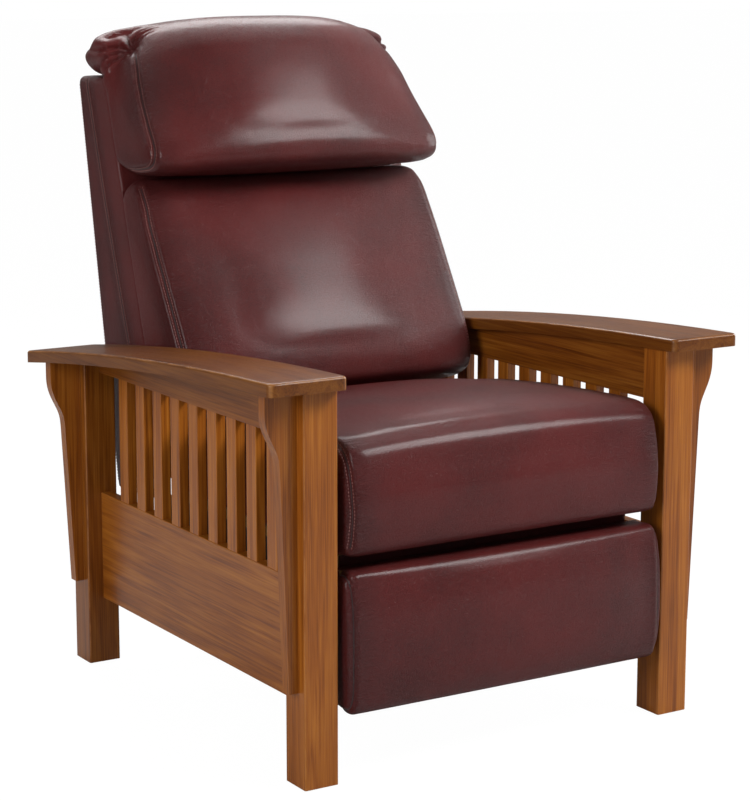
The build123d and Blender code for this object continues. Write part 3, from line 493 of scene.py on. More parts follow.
@dataclass
class Workshop:
    """Every finish of the chair, made once."""

    made: dict[str, bpy.types.Material] = field(default_factory=dict)

    def wood(self, node: str, grain: Grain, hidden: bool) -> bpy.types.Material:
        """The stained hardwood of one board, or the plain wood of a hidden one.

        Args:
            node: The board's node, which gives its figure.
            grain: The direction of its grain.
            hidden: True for unstained frame wood.

        Returns:
            The material.
        """
        number = sum(ord(letter) * (place + 1) for place, letter in enumerate(node))
        offset = (number % 17 * 0.37, number % 23 * 0.29, number % 29 * 0.41)
        if hidden:
            return WoodFinish(f"frame_wood_{node}", grain, *HIDDEN_WOOD, 0.0, offset).build()
        # Scaling a board's stain lighter or darker here paints light and shade: it stands for how the lamps fall on
        # that board.
        tone = next((share for word, share in BOARD_LIGHT_AND_SHADE.items() if word in node), 1.0)
        stains = (WoodFinish.dark, WoodFinish.middle, WoodFinish.light)
        light_and_shade_stains = (tuple(part * tone for part in colour) for colour in stains)
        return WoodFinish(f"oak_{node}", grain, *light_and_shade_stains, offset=offset).build()

    def open(self) -> None:
        """Make the finishes that pieces share."""
        finishes = {
            "leather": LeatherFinish(),
            "thread": ThreadFinish("thread_rose", (0.460, 0.190, 0.165), (0.210, 0.065, 0.058)),
            # The dark cord sunk down each seam is painted shade, standing for the shadow in the seam's crevice.
            "sewn": ThreadFinish("seam_shadow", (0.030, 0.006, 0.007), (0.015, 0.003, 0.004)),
            "webbing": WeaveFinish(),
            "felt": FeltFinish(),
            "glide": GlideFinish(),
            "link_steel": PaintFinish(),
            "pin_steel": MetalFinish("pin_turned", (0.62, 0.61, 0.58), (0.42, 0.36, 0.26), 0.26, 700.0),
            "screw_steel": MetalFinish("screw_zinc", (0.62, 0.60, 0.55), (0.40, 0.36, 0.28), 0.30, 900.0),
            "spring_steel": MetalFinish("spring_oiled", (0.30, 0.30, 0.31), (0.20, 0.14, 0.10), 0.40, 500.0),
        }
        self.made = {slot: finish.build() for slot, finish in finishes.items()}


def new_object(name: str, data: bpy.types.ID) -> bpy.types.Object:
    """An object at the origin, in the scene."""
    made = bpy.data.objects.new(name, data)
    bpy.context.scene.collection.objects.link(made)
    return made


def plain_mesh(name: str, vertices: np.ndarray, faces: list, smooth: bool = True) -> bpy.types.Object:
    """Make an object at the origin from points and faces.

    Args:
        name: The object's name.
        vertices: Its points.
        faces: Its faces, as point numbers.
        smooth: True to shade it smooth.

    Returns:
        The object.
    """
    mesh = bpy.data.meshes.new(name)
    mesh.from_pydata([tuple(map(float, v)) for v in vertices], [], faces)
    mesh.validate()
    made = new_object(name, mesh)
    build = bmesh.new()
    build.from_mesh(mesh)
    bmesh.ops.remove_doubles(build, verts=build.verts, dist=1e-6)
    bmesh.ops.recalc_face_normals(build, faces=build.faces)
    build.to_mesh(mesh)
    build.free()
    mesh.polygons.foreach_set("use_smooth", [smooth] * len(mesh.polygons))
    return made


def settle(made: bpy.types.Object) -> bpy.types.Object:
    """Turn an object's modifiers into a plain mesh and drop them."""
    graph = bpy.context.evaluated_depsgraph_get()
    mesh = bpy.data.meshes.new_from_object(made.evaluated_get(graph), depsgraph=graph)
    made.modifiers.clear()
    made.data = mesh
    return made


def grid_faces(rows: int, columns: int, closed: bool = False) -> list[tuple[int, ...]]:
    """Faces between points laid row by row, where closed rows end at their start."""
    faces = []
    for start in range(0, (rows - 1) * columns, columns):
        for column in range(columns if closed else columns - 1):
            first, following = start + column, start + (column + 1) % columns
            faces.append((first, following, following + columns, first + columns))
    return faces


def sheet_faces(rows: int, columns: int, start: int = 0) -> list[tuple[int, ...]]:
    """Faces of a closed sheet: two layers of points, each laid row by row, joined round the rim.

    Args:
        rows: Rows in a layer.
        columns: Points in a row.
        start: The first point's number.

    Returns:
        The faces.
    """
    size = rows * columns
    faces = []
    for a, b, c, d in grid_faces(rows, columns):
        faces += [(a, b, c, d), (a + size, d + size, c + size, b + size)]
    rim = list(range(columns)) + [row * columns + columns - 1 for row in range(1, rows)]
    rim += [(rows - 1) * columns + column for column in range(columns - 2, -1, -1)]
    rim += [row * columns for row in range(rows - 2, 0, -1)]
    faces += [(point, point + size, other + size, other) for point, other in zip(rim, rim[1:] + rim[:1])]
    return [tuple(start + point for point in face) for face in faces]


def even_line(line: np.ndarray, count: int = 0, measured: int = 3) -> np.ndarray:
    """The same line with evenly spaced points.

    Args:
        line: Its points, one row each.
        count: How many points it is given, or 0 for one at each seam step.
        measured: How many of its columns are places.

    Returns:
        The new points.
    """
    steps = np.linalg.norm(np.diff(line[:, :measured], axis=0), axis=1)
    run = np.concatenate([[0.0], np.cumsum(steps)])
    places = np.linspace(0.0, run[-1], count or max(4, int(run[-1] / SEAM_STEP) + 1))
    return np.column_stack([np.interp(places, run, column) for column in line.T])


def curve_through(points: np.ndarray, count: int) -> np.ndarray:
    """A smooth open line through points, evenly spaced.

    Args:
        points: What it passes through, one row each.
        count: How many points it is given.

    Returns:
        The line's points.
    """
    guide = np.vstack([2 * points[0] - points[1], points, 2 * points[-1] - points[-2]])
    t = np.linspace(0.0, 1.0, 12, endpoint=False)[:, None]
    rows = []
    for index in range(1, len(guide) - 2):
        a, b, c, d = guide[index - 1 : index + 3]
        bends = (2 * a - 5 * b + 4 * c - d) * t**2 + (3 * b - a - 3 * c + d) * t**3
        rows.append(0.5 * (2 * b + (c - a) * t + bends))
    return even_line(np.vstack([*rows, points[-1:]]), count, 2)


def relaxed(line: np.ndarray, rounds: int) -> np.ndarray:
    """A line with its kinks averaged out and its ends kept."""
    line = line.copy()
    for _ in range(rounds):
        line[1:-1] = 0.5 * line[1:-1] + 0.25 * (line[:-2] + line[2:])
    return line


def eased(heights: np.ndarray, table: Table) -> np.ndarray:
    """A table's value at each height, with the table's corners eased."""
    places, values = zip(*table)
    return np.mean([np.interp(heights + step, places, values) for step in np.linspace(-0.035, 0.035, 8)], axis=0)


def unit(rows: np.ndarray) -> np.ndarray:
    """Rows at a length of one."""
    return rows / (np.linalg.norm(rows, axis=1)[:, None] + 1e-12)


def read_points(mesh: bpy.types.Mesh, normals: bool = False) -> np.ndarray:
    """A mesh's points, or its points' normals, as rows."""
    flat = np.zeros(len(mesh.vertices) * 3, np.float32)
    source, key = (mesh.vertex_normals, "vector") if normals else (mesh.vertices, "co")
    source.foreach_get(key, flat)
    return flat.reshape(-1, 3).astype(float)


def write_points(mesh: bpy.types.Mesh, points: np.ndarray) -> None:
    """Move a mesh's points."""
    mesh.vertices.foreach_set("co", points.astype(np.float32).ravel())
    mesh.update()


def even_out(mesh: bpy.types.Mesh, values: np.ndarray, rounds: int) -> np.ndarray:
    """Values at a mesh's points, averaged with their neighbours again and again."""
    ends = np.zeros(len(mesh.edges) * 2, np.int32)
    mesh.edges.foreach_get("vertices", ends)
    first, last = ends.reshape(-1, 2).T
    total = len(values)
    near = np.maximum(np.bincount(ends, minlength=total), 1)
    for _ in range(rounds):
        gathered = np.bincount(first, values[last], total) + np.bincount(last, values[first], total)
        values = 0.3 * values + 0.7 * gathered / near
    return values


def surface_of(mesh: bpy.types.Mesh) -> BVHTree:
    """A mesh's surface, to find places on."""
    return BVHTree.FromPolygons(
        [tuple(map(float, point)) for point in read_points(mesh)], [tuple(face.vertices) for face in mesh.polygons]
    )


def nearest(surface: BVHTree, line: np.ndarray) -> tuple[np.ndarray, np.ndarray]:
    """The nearest places on a surface to a line's points, and the surface's normals there."""
    hits = [surface.find_nearest(Vector(point)) for point in line]
    return np.array([hit[0] for hit in hits]), np.array([hit[1] for hit in hits])


def seam_on(surface: BVHTree, line: np.ndarray) -> np.ndarray:
    """A line laid on a surface, evenly spaced and without kinks."""
    return relaxed(nearest(surface, even_line(line))[0], SEAM_ROUNDS)


def distance_to_lines(points: np.ndarray, lines: list[np.ndarray]) -> np.ndarray:
    """How far each point is from the nearest line, where it is near one."""
    best = np.full(len(points), 1e9)
    for line in lines:
        near = np.linalg.norm(points[:, None, :] - line[None, :: max(1, len(line) // 60)], axis=2).min(axis=1) < 0.06
        chosen = points[near]
        found = np.full(len(chosen), 1e9)
        for start, end in zip(line[:-1], line[1:]):
            run = end - start
            share = np.clip(((chosen - start) @ run) / max(run @ run, 1e-12), 0.0, 1.0)
            found = np.minimum(found, np.linalg.norm(chosen - start - share[:, None] * run, axis=1))
        best[near] = np.minimum(best[near], found)
    return best


def cover(made: bpy.types.Object, leather: bpy.types.Material, away: np.ndarray, reach: float) -> None:
    """Dress a sewn piece in leather that knows its seams.

    Args:
        made: The piece.
        leather: Its finish.
        away: How far each of its points is from a seam.
        reach: How far off a seam draws the leather.
    """
    mesh = made.data
    near = mesh.attributes.new("seam", "FLOAT", "POINT")
    near.data.foreach_set("value", bell(away, reach).astype(np.float32))
    mesh.polygons.foreach_set("use_smooth", [True] * len(mesh.polygons))
    mesh.materials.clear()
    mesh.materials.append(leather)


def attach(made: bpy.types.Object, body: str, slot: Slot, *nodes: str, fill: float | None = None) -> None:
    """Give a finished piece its body, hide the nodes that it stands for, and report it.

    Args:
        made: The piece.
        body: The CAD body that it rides on.
        slot: The record's material slot; not used.
        nodes: CAD nodes that it replaces.
        fill: How full it is, where it is padded; not used.
    """
    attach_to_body(made, body)
    if nodes:
        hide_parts(*nodes)
    log.info("%s: %d faces, on %s", made.name, len(made.data.polygons), body)


class RepeatTree:
    """A Geometry Nodes tree with named inputs that is run once on a mesh and then removed."""

    def __init__(self, name: str, **inputs: str) -> None:
        """Start a tree.

        Args:
            name: The tree's name.
            inputs: Kinds of socket by input name, besides the geometry and the material.
        """
        self.tree = bpy.data.node_groups.new(name, "GeometryNodeTree")
        face = self.tree.interface
        face.new_socket("Geometry", in_out="INPUT", socket_type="NodeSocketGeometry")
        self.keys = {
            label: face.new_socket(label, in_out="INPUT", socket_type=f"NodeSocket{kind}").identifier
            for label, kind in {**inputs, "Material": "Material"}.items()
        }
        face.new_socket("Geometry", in_out="OUTPUT", socket_type="NodeSocketGeometry")
        self.given = self.tree.nodes.new("NodeGroupInput")

    def node(self, kind: str, fed: dict | None = None, **settings: object) -> bpy.types.Node:
        """Add a node with its settings and inputs, where text names one of the tree's own inputs."""
        named = dict(fed or {})
        for key, value in named.items():
            if isinstance(value, str):
                named[key] = self.given.outputs[value]
        return add_node(self.tree, kind, named, **settings)

    def close(self, geometry: bpy.types.Node) -> None:
        """End the tree in Realize Instances and Set Material."""
        real = self.node("GeometryNodeRealizeInstances", {0: geometry})
        painted = self.node("GeometryNodeSetMaterial", {0: real, "Material": "Material"})
        self.node("NodeGroupOutput", {0: painted})

    def scatter(self, along: bpy.types.Node, turns: tuple[Place, Place], **fed: object) -> None:
        """Set a shape at points, turned along a direction and then at random, and end the tree.

        Args:
            along: The direction at each point.
            turns: The least and the most that it turns about its own axes.
            fed: What else the instances take, by input name.
        """
        turned = self.node("FunctionNodeAlignRotationToVector", {"Vector": along}, axis="X")
        low, high = turns
        spin = self.node("FunctionNodeRandomValue", {"Min": low, "Max": high, "Seed": "Seed"}, data_type="FLOAT_VECTOR")
        spun = self.node("FunctionNodeRotateRotation", {0: turned, 1: spin}, rotation_space="LOCAL")
        self.close(self.node("GeometryNodeInstanceOnPoints", {"Rotation": spun, **fed}))

    def run(self, made: bpy.types.Object, **values: object) -> bpy.types.Object:
        """Run the tree on an object, with its named inputs' values, and keep the result as its plain mesh."""
        modifier = made.modifiers.new(self.tree.name, "NODES")
        modifier.node_group = self.tree
        for label, value in values.items():
            modifier[self.keys[label]] = value
        return settle(made)


class StitchTree(RepeatTree):
    """Stitches laid end to end along lines, each leaning a little."""

    lean = ((-0.04, -0.10, -0.10), (0.04, 0.10, 0.10))

    def __init__(self) -> None:
        """Build the tree."""
        super().__init__("stitches", Pitch="Float", Length="Float", Thickness="Float", Seed="Int")
        line = self.node("GeometryNodeMeshToCurve", {0: "Geometry"})
        spaced = self.node("GeometryNodeResampleCurve", {"Curve": line, "Length": "Pitch"}, mode="LENGTH")
        thread = self.node("GeometryNodeMeshUVSphere", {"Segments": 6, "Rings": 5, "Radius": 1.0})
        half = self.node("ShaderNodeMath", {0: "Length", 1: 0.5}, operation="MULTIPLY")
        scale = self.node("ShaderNodeCombineXYZ", {0: half, 1: "Thickness", 2: "Thickness"})
        self.scatter(self.node("GeometryNodeInputTangent"), self.lean, Points=spaced, Instance=thread, Scale=scale)


class ShadeCordTree(RepeatTree):
    """A thin closed cord along lines, which stands as painted shade down each seam."""

    def __init__(self) -> None:
        """Build the tree."""
        super().__init__("seam_cord", Thickness="Float")
        line = self.node("GeometryNodeMeshToCurve", {0: "Geometry"})
        profile = self.node("GeometryNodeCurvePrimitiveCircle", {"Resolution": 6, "Radius": "Thickness"})
        self.close(self.node("GeometryNodeCurveToMesh", {"Curve": line, "Profile Curve": profile, "Fill Caps": True}))


class PlaceTree(RepeatTree):
    """One shape set at each point of a mesh and turned along the point's own direction."""

    spin = ((0.0, 0.0, 0.0), (3.1, 0.0, 0.0))

    def __init__(self) -> None:
        """Build the tree."""
        super().__init__("fasteners", Shape="Object", Seed="Int")
        shape = self.node("GeometryNodeObjectInfo", {0: "Shape"})
        points = self.node("GeometryNodeMeshToPoints", {0: "Geometry"})
        facing = self.node("GeometryNodeInputNamedAttribute", data_type="FLOAT_VECTOR")
        facing.inputs["Name"].default_value = "facing"
        self.scatter(facing, self.spin, Points=points, Instance=shape.outputs["Geometry"])


@dataclass
class SewnLines:
    """The topstitching of one body's pieces and the dark cords of painted shade down their seams, gathered into two
    meshes.
    """

    body: str
    shop: Workshop
    stitches: StitchTree
    cords: ShadeCordTree
    pitch: float = 0.0052
    length: float = 0.0037
    thread: float = 0.00058
    seam_cord: float = 0.0011
    seed: int = 7
    thread_runs: list[np.ndarray] = field(default_factory=list)
    seam_shade_runs: list[np.ndarray] = field(default_factory=list)

    def add(self, surface: BVHTree, line: np.ndarray, rows: tuple[float, ...], seam: bool = True) -> None:
        """Lay a seam's dark cord of painted shade and its rows of stitches on a surface.

        Args:
            surface: The piece's surface.
            line: Points near the surface that the seam follows.
            rows: How far each row of stitches lies to one side of the seam.
            seam: False for stitching alone.
        """
        path, normal = nearest(surface, seam_on(surface, line))
        side = unit(np.cross(normal, unit(np.gradient(path, axis=0))))
        if seam:
            # A dark cord sunk a little into the seam: painted shade in its crevice.
            self.seam_shade_runs.append(path - normal * self.seam_cord * 0.35)
        for row in rows:
            place, out = nearest(surface, relaxed(path + side * row, 6))
            self.thread_runs.append(place + out * self.thread * 0.3)

    def lines(self, label: str, runs: list[np.ndarray]) -> bpy.types.Object:
        """One mesh of loose edges that follows every run."""
        vertices, edges = [], []
        for run in runs:
            first = len(vertices)
            vertices += [tuple(map(float, point)) for point in run]
            edges += [(first + index, first + index + 1) for index in range(len(run) - 1)]
        mesh = bpy.data.meshes.new(f"{self.body}_{label}")
        mesh.from_pydata(vertices, edges, [])
        return new_object(mesh.name, mesh)

    def sew(self) -> None:
        """Make the stitches and the dark seam cords of painted shade of this body."""
        if self.thread_runs:
            made = self.lines("stitches", self.thread_runs)
            sizes = {"Pitch": self.pitch, "Length": self.length, "Thickness": self.thread, "Seed": self.seed}
            self.stitches.run(made, **sizes, Material=self.shop.made["thread"])
            attach(made, self.body, Slot.LEATHER)
        if self.seam_shade_runs:
            # Painted shade: the dark cords down the seams.
            made = self.lines("seam_lines", self.seam_shade_runs)
            self.cords.run(made, Thickness=self.seam_cord, Material=self.shop.made["sewn"])
            attach(made, self.body, Slot.LEATHER)


@dataclass
class Cushion:
    """A sewn leather cushion: one wrapped panel with a gusset at each end."""

    node: str
    body: str
    outline: tuple[Place, ...]
    anchor: tuple[float, float]
    crown_direction: tuple[float, float]
    half_width: float
    edge_round: float
    crown: float
    cap: float
    seam_span: tuple[float, float]
    straight: Table = ()
    taper: Table = ((0.0, 1.0), (2.0, 1.0))
    bow: Table = ((0.0, 0.0), (2.0, 0.0))
    bow_power: float = 3.2
    crown_power: float = 2.5
    sag: tuple[float, float] = (0.0, 0.0)
    undersize: float = 0.003
    voxel: float = 0.006
    seam_angle: float = 45.0
    seam_rows: tuple[float, ...] = (-0.0045, 0.0045)
    fill: float = 0.8
    ring_count: int = 120
    end_puff: float = 0.003
    soft_depth: float = 0.060
    free_depth: float = 0.040

    def ring(self) -> np.ndarray:
        """The side outline as a closed line of y, z and share of the crown, evenly spaced."""
        soft = curve_through(np.array(self.outline), self.ring_count)
        return np.vstack([soft, *([(y, z, 0.0)] for y, z in self.straight)])

    def inset_at(self, angle: float) -> tuple[float, float]:
        """Distance in from the end, and the outline's inset, at an angle round the end's edge."""
        turn = math.radians(angle)
        return self.edge_round * (1.0 - math.cos(turn)), self.edge_round * (1.0 - math.sin(turn))

    def placed(self, ring: np.ndarray, depth: float, inset: float, side: float = 1.0) -> np.ndarray:
        """The outline's points in space at one station across the width.

        Args:
            ring: The outline.
            depth: How far in from the end the station stands.
            inset: How far the outline has shrunk there.
            side: 1 for the left end and -1 for the right.

        Returns:
            The points.
        """
        anchor, ahead = np.array(self.anchor), np.array(self.crown_direction)
        reach = np.linalg.norm(ring[:, :2] - anchor, axis=1).max()
        share = 1.0 - (1.0 - depth / self.half_width) ** self.crown_power
        place = anchor + (ring[:, :2] - anchor) * (1.0 - inset / reach)
        place = place + ring[:, 2:3] * self.crown * share * ahead
        away = (place - anchor) @ ahead
        forward = rise(away, 0.0, self.soft_depth)
        narrowing = (1.0 - eased(place[:, 1], self.taper)) * forward
        x = side * (self.half_width - depth) * (1.0 - narrowing)
        across = (1.0 - depth / self.half_width) ** self.bow_power
        back = np.minimum(eased(place[:, 1], self.bow) * across * forward, np.maximum(away - 0.02, 0.0))
        place = place - back[:, None] * ahead
        drop = self.sag[0 if side > 0 else 1] * across
        place[:, 1] -= drop * rise(place[:, 1], anchor[1], self.soft_depth)
        return np.column_stack([x, place])

    def core(self) -> bpy.types.Object:
        """The cushion before it is stuffed, a little small."""
        ring = self.ring()
        stations = [self.inset_at(angle) for angle in range(0, 91, 15)]
        stations += [(float(depth), 0.0) for depth in np.linspace(self.edge_round, self.half_width, 9)[1:]]
        rows = [self.placed(ring, *station) for station in stations]
        rows += [self.placed(ring, *station, -1.0) for station in stations[-2::-1]]
        caps, poles = [], []
        for end, side in ((rows[0], 1.0), (rows[-1], -1.0)):
            centre, out = end.mean(axis=0), np.array([side * self.end_puff, 0.0, 0.0])
            caps.append([centre + (end - centre) * scale + out * (1.0 - scale**2) for scale in (0.85, 0.6, 0.3)])
            poles.append(centre + out)
        grid = caps[0][::-1] + rows + caps[1]
        count = len(ring)
        faces = grid_faces(len(grid), count, closed=True)
        last, pole = (len(grid) - 1) * count, len(grid) * count
        for index in range(count):
            following = (index + 1) % count
            faces += [(index, following, pole), (last + index, last + following, pole + 1)]
        made = plain_mesh(f"{self.node}_leather", np.vstack([*grid, poles]), faces)
        skin = made.modifiers.new("skin", "REMESH")
        skin.mode = "VOXEL"
        skin.voxel_size = self.voxel
        return settle(made)

    def seam_lines(self) -> list[np.ndarray]:
        """The seam at each end, where the wrapped panel meets the gusset."""
        ring = self.ring()[: self.ring_count]
        first, last = (int(share * (self.ring_count - 1)) for share in self.seam_span)
        return [self.placed(ring, *self.inset_at(self.seam_angle), side)[first:last] for side in (1.0, -1.0)]

    def clearance(self, points: np.ndarray) -> np.ndarray:
        """How far each point stands off what the cushion rests on."""
        return np.ones(len(points))

    def allowed(self, rest: np.ndarray) -> np.ndarray:
        """How far each point may swell: less near its rests and at its ends."""
        off = rise(self.clearance(rest), 0.0, self.free_depth)
        end = rise(self.half_width - np.abs(rest[:, 0]), 0.0, self.edge_round)
        return self.cap * off**2 * (3.0 - 2.0 * off) * (0.25 + 0.75 * end) + 1e-5

    def fitted(self, points: np.ndarray) -> np.ndarray:
        """Points pressed back to what the cushion rests on or stands beside."""
        return points

    def inflate(self, made: bpy.types.Object) -> None:
        """Stuff the cushion with a cloth simulation and keep how far it swelled outwards.

        Args:
            made: The cushion's skin.
        """
        mesh = made.data
        rest, normals = read_points(mesh), read_points(mesh, normals=True)
        held = made.vertex_groups.new(name="sewn")
        for index in np.nonzero(distance_to_lines(rest, self.seam_lines()) < self.voxel * 1.1)[0]:
            held.add([int(index)], 0.9, "REPLACE")
        write_points(mesh, rest - normals * self.undersize)
        modifier = made.modifiers.new("stuffing", "CLOTH")
        for name, value in STUFFING.items():
            setattr(modifier.settings, name, value)
        modifier.settings.effector_weights.gravity = 0.0
        modifier.collision_settings.use_collision = False
        modifier.collision_settings.use_self_collision = False
        modifier.point_cache.frame_start, modifier.point_cache.frame_end = 1, STUFFING_FRAMES
        for step in range(1, STUFFING_FRAMES + 1):
            bpy.context.scene.frame_set(step)
        swollen = read_points(made.evaluated_get(bpy.context.evaluated_depsgraph_get()).data)
        made.modifiers.remove(modifier)
        bpy.context.scene.frame_set(1)
        outward = ((swollen - rest) * normals).sum(axis=1)
        log.info("%s swelled by %.1f mm at most", self.node, outward.max() * 1e3)
        limit = self.allowed(rest)
        swell = limit * np.tanh(np.maximum(even_out(mesh, outward, 150), 0.0) / limit)
        crease = even_out(mesh, outward, 4) - even_out(mesh, outward, 26)
        crease = np.clip(crease * 0.12, -0.0005, 0.0003) * np.clip(limit / self.cap * 2.0, 0.0, 1.0)
        write_points(mesh, rest + normals * (swell + crease)[:, None])
        made.vertex_groups.clear()

    def sculpt(self, points: np.ndarray, normals: np.ndarray) -> np.ndarray:
        """Folds and dents of this cushion alone, added after it is stuffed."""
        return points

    def build(self, shop: Workshop, sewn: SewnLines) -> None:
        """Make the cushion, its seams and its finish.

        Args:
            shop: The finishes.
            sewn: Where the body's stitches are gathered.
        """
        made = self.core()
        self.inflate(made)
        smooth = made.modifiers.new("even", "SMOOTH")
        smooth.factor, smooth.iterations = 0.5, 9
        finer = made.modifiers.new("finer", "SUBSURF")
        finer.levels = finer.render_levels = 1
        mesh = settle(made).data
        points = self.fitted(self.sculpt(read_points(mesh), read_points(mesh, normals=True)))
        write_points(mesh, points)
        surface = surface_of(mesh)
        lines = [seam_on(surface, line) for line in self.seam_lines()]
        away = distance_to_lines(points, lines)
        groove = -0.0030 * bell(away, 0.0042) + 0.0010 * bell(away - 0.010, 0.005)
        write_points(mesh, self.fitted(points + read_points(mesh, normals=True) * groove[:, None]))
        surface = surface_of(mesh)
        for line in lines:
            sewn.add(surface, line, self.seam_rows)
        cover(made, shop.made["leather"], away, 0.030)
        attach(made, self.body, Slot.LEATHER, self.node, fill=self.fill)


class SeatCushion(Cushion):
    """The boxed seat cushion, which lies flat on its pad."""

    floor = 0.3421
    widest = 0.295
    rear = 0.060

    def clearance(self, points: np.ndarray) -> np.ndarray:
        """Distance from the felt below and from the back cushion behind."""
        return np.minimum(points[:, 2] - self.floor, np.maximum(self.rear - points[:, 1], 0.002))

    def fitted(self, points: np.ndarray) -> np.ndarray:
        """Keep off the pad and clear of the side frames."""
        x, y, z = points.T
        return np.column_stack([np.clip(x, -self.widest, self.widest), y, np.maximum(z, self.floor)])


class BackCushion(Cushion):
    """A cushion that lies flat against the inside back."""

    def clearance(self, points: np.ndarray) -> np.ndarray:
        """Distance from the inside back, or from the top of the outside back."""
        forward = (inside_back(points[:, 2]) - points[:, 1]) * math.cos(BACK_LEAN)
        return np.maximum(forward, points[:, 2] - SHELL_TOP_Z)

    def fitted(self, points: np.ndarray) -> np.ndarray:
        """Press what would pass the inside back on to it."""
        x, y, z = points.T
        return np.column_stack([x, np.where(z < SHELL_TOP_Z, np.minimum(y, inside_back(z)), y), z])


class HeadrestCushion(BackCushion):
    """The headrest, gathered into pleats where it turns over the top of the back."""

    pucker = (0.318, 1.052)
    pleats = 15.0
    pleat_depth = 0.0075
    pleat_reach = 0.085
    gather_from = 0.185
    tuck_rear = 0.468
    tuck_depth = 0.017
    tuck_narrowing = 0.055

    def fitted(self, points: np.ndarray) -> np.ndarray:
        """Rest on the inside back and over the top of the outside back, tucked in where it lands there."""
        x, y, z = points.T
        low = (1.0 - rise(z, SHELL_TOP_Z, 0.050)) ** 2 * rise(y, inside_back(SHELL_TOP_Z), 0.05)
        y = y - self.tuck_depth * low * rise(y, self.tuck_rear - 0.060, 0.060)
        x = x * (1.0 - self.tuck_narrowing * low)
        limit = inside_back(z)
        inside = (y > limit) & (z < SHELL_TOP_Z)
        to_plane = (y - limit) < (SHELL_TOP_Z - z)
        return np.column_stack([x, np.where(inside & to_plane, limit, y), np.where(inside & ~to_plane, SHELL_TOP_Z, z)])

    def sculpt(self, points: np.ndarray, normals: np.ndarray) -> np.ndarray:
        """Pleats that fan out from each upper corner."""
        wide, y, z = np.abs(points[:, 0]), points[:, 1] - self.pucker[0], points[:, 2] - self.pucker[1]
        radius, turn = np.hypot(y, z), np.arctan2(z, y)
        side = rise(wide, self.gather_from, 0.06)
        fade = side * rise(radius, 0.0, 0.018) * bell(radius, self.pleat_reach)
        fan = rise(turn, -1.3, 0.5) * rise(-turn, -2.1, 0.6)
        fold = np.abs(np.cos(turn * self.pleats / 2.0 + wide * 40.0)) ** 0.7 - 0.8
        pinch = -0.010 * side * bell(radius, 0.016)
        return points + normals * (fade * fan * fold * self.pleat_depth * 2.0 + pinch)[:, None]


class FootrestPad(Cushion):
    """The footrest's pad, flat against its board."""

    def clearance(self, points: np.ndarray) -> np.ndarray:
        """Distance from the board's face."""
        return self.anchor[0] - points[:, 1]


def shares(box: tuple[float, float, float, float], *rows: Place) -> tuple[Place, ...]:
    """Turn an outline's shares of a box's depth and height into y, z and crown.

    Args:
        box: The box's front, bottom, depth and height.
        rows: Share of the depth, share of the height, and crown.

    Returns:
        The outline.
    """
    front, bottom, depth, height = box
    return tuple((front + a * depth, bottom + b * height, crown) for a, b, crown in rows)


def seat_cushion() -> SeatCushion:
    """The seat cushion's sizes."""
    box = front, bottom, depth, _ = -0.457, SeatCushion.floor, 0.590, 0.174
    outline = shares(
        box,
        *((0.030, 0.000, 0.0), (0.008, 0.110, 0.2), (0.000, 0.460, 0.6), (0.020, 0.830, 0.8), (0.052, 0.958, 0.9)),
        *((0.112, 1.000, 1.0), (0.340, 0.972, 1.0), (0.580, 0.912, 1.0), (0.800, 0.820, 0.8), (0.955, 0.668, 0.2)),
        *((0.998, 0.380, 0.0), (0.985, 0.120, 0.0), (0.970, 0.000, 0.0)),
    )
    return SeatCushion(
        node="seat_cushion",
        body="seat",
        outline=outline,
        anchor=(front + depth / 2.0, bottom),
        crown_direction=(0.0, 1.0),
        half_width=0.288,
        edge_round=0.024,
        crown=0.010,
        cap=0.010,
        seam_span=(0.03, 0.86),
        seam_angle=38.0,
        seam_rows=(-STITCH_OFF, STITCH_OFF),
    )


def lumbar_cushion() -> BackCushion:
    """The lumbar cushion's sizes."""
    box = _, bottom, _, height = 0.047, 0.462, 0.280, 0.373
    top = bottom + 0.945 * height
    middle = (bottom + top) / 2.0
    soft = shares(
        box,
        *((0.360, 0.012, 0.0), (0.205, 0.040, 0.3), (0.060, 0.085, 0.6), (0.000, 0.150, 0.8), (0.075, 0.315, 1.0)),
        *((0.330, 0.620, 1.0), (0.550, 0.865, 1.0), (0.620, 0.945, 0.8), (0.675, 0.985, 0.5), (0.740, 1.006, 0.3)),
        (0.829, 0.998, 0.1),
    )
    return BackCushion(
        node="lumbar_cushion",
        body="back",
        outline=((inside_back(bottom), bottom, 0.0), *soft, (inside_back(top), top, 0.0)),
        anchor=(inside_back(middle), middle),
        crown_direction=FORWARD_OF_BACK,
        half_width=0.287,
        edge_round=0.030,
        crown=0.012,
        cap=0.008,
        seam_span=(0.16, 0.90),
        taper=((0.46, 1.0), (0.76, 1.0), (0.84, 0.975)),
        bow=((0.46, 0.018), (0.60, 0.018), (0.70, 0.012), (0.80, 0.004), (0.84, 0.0)),
    )


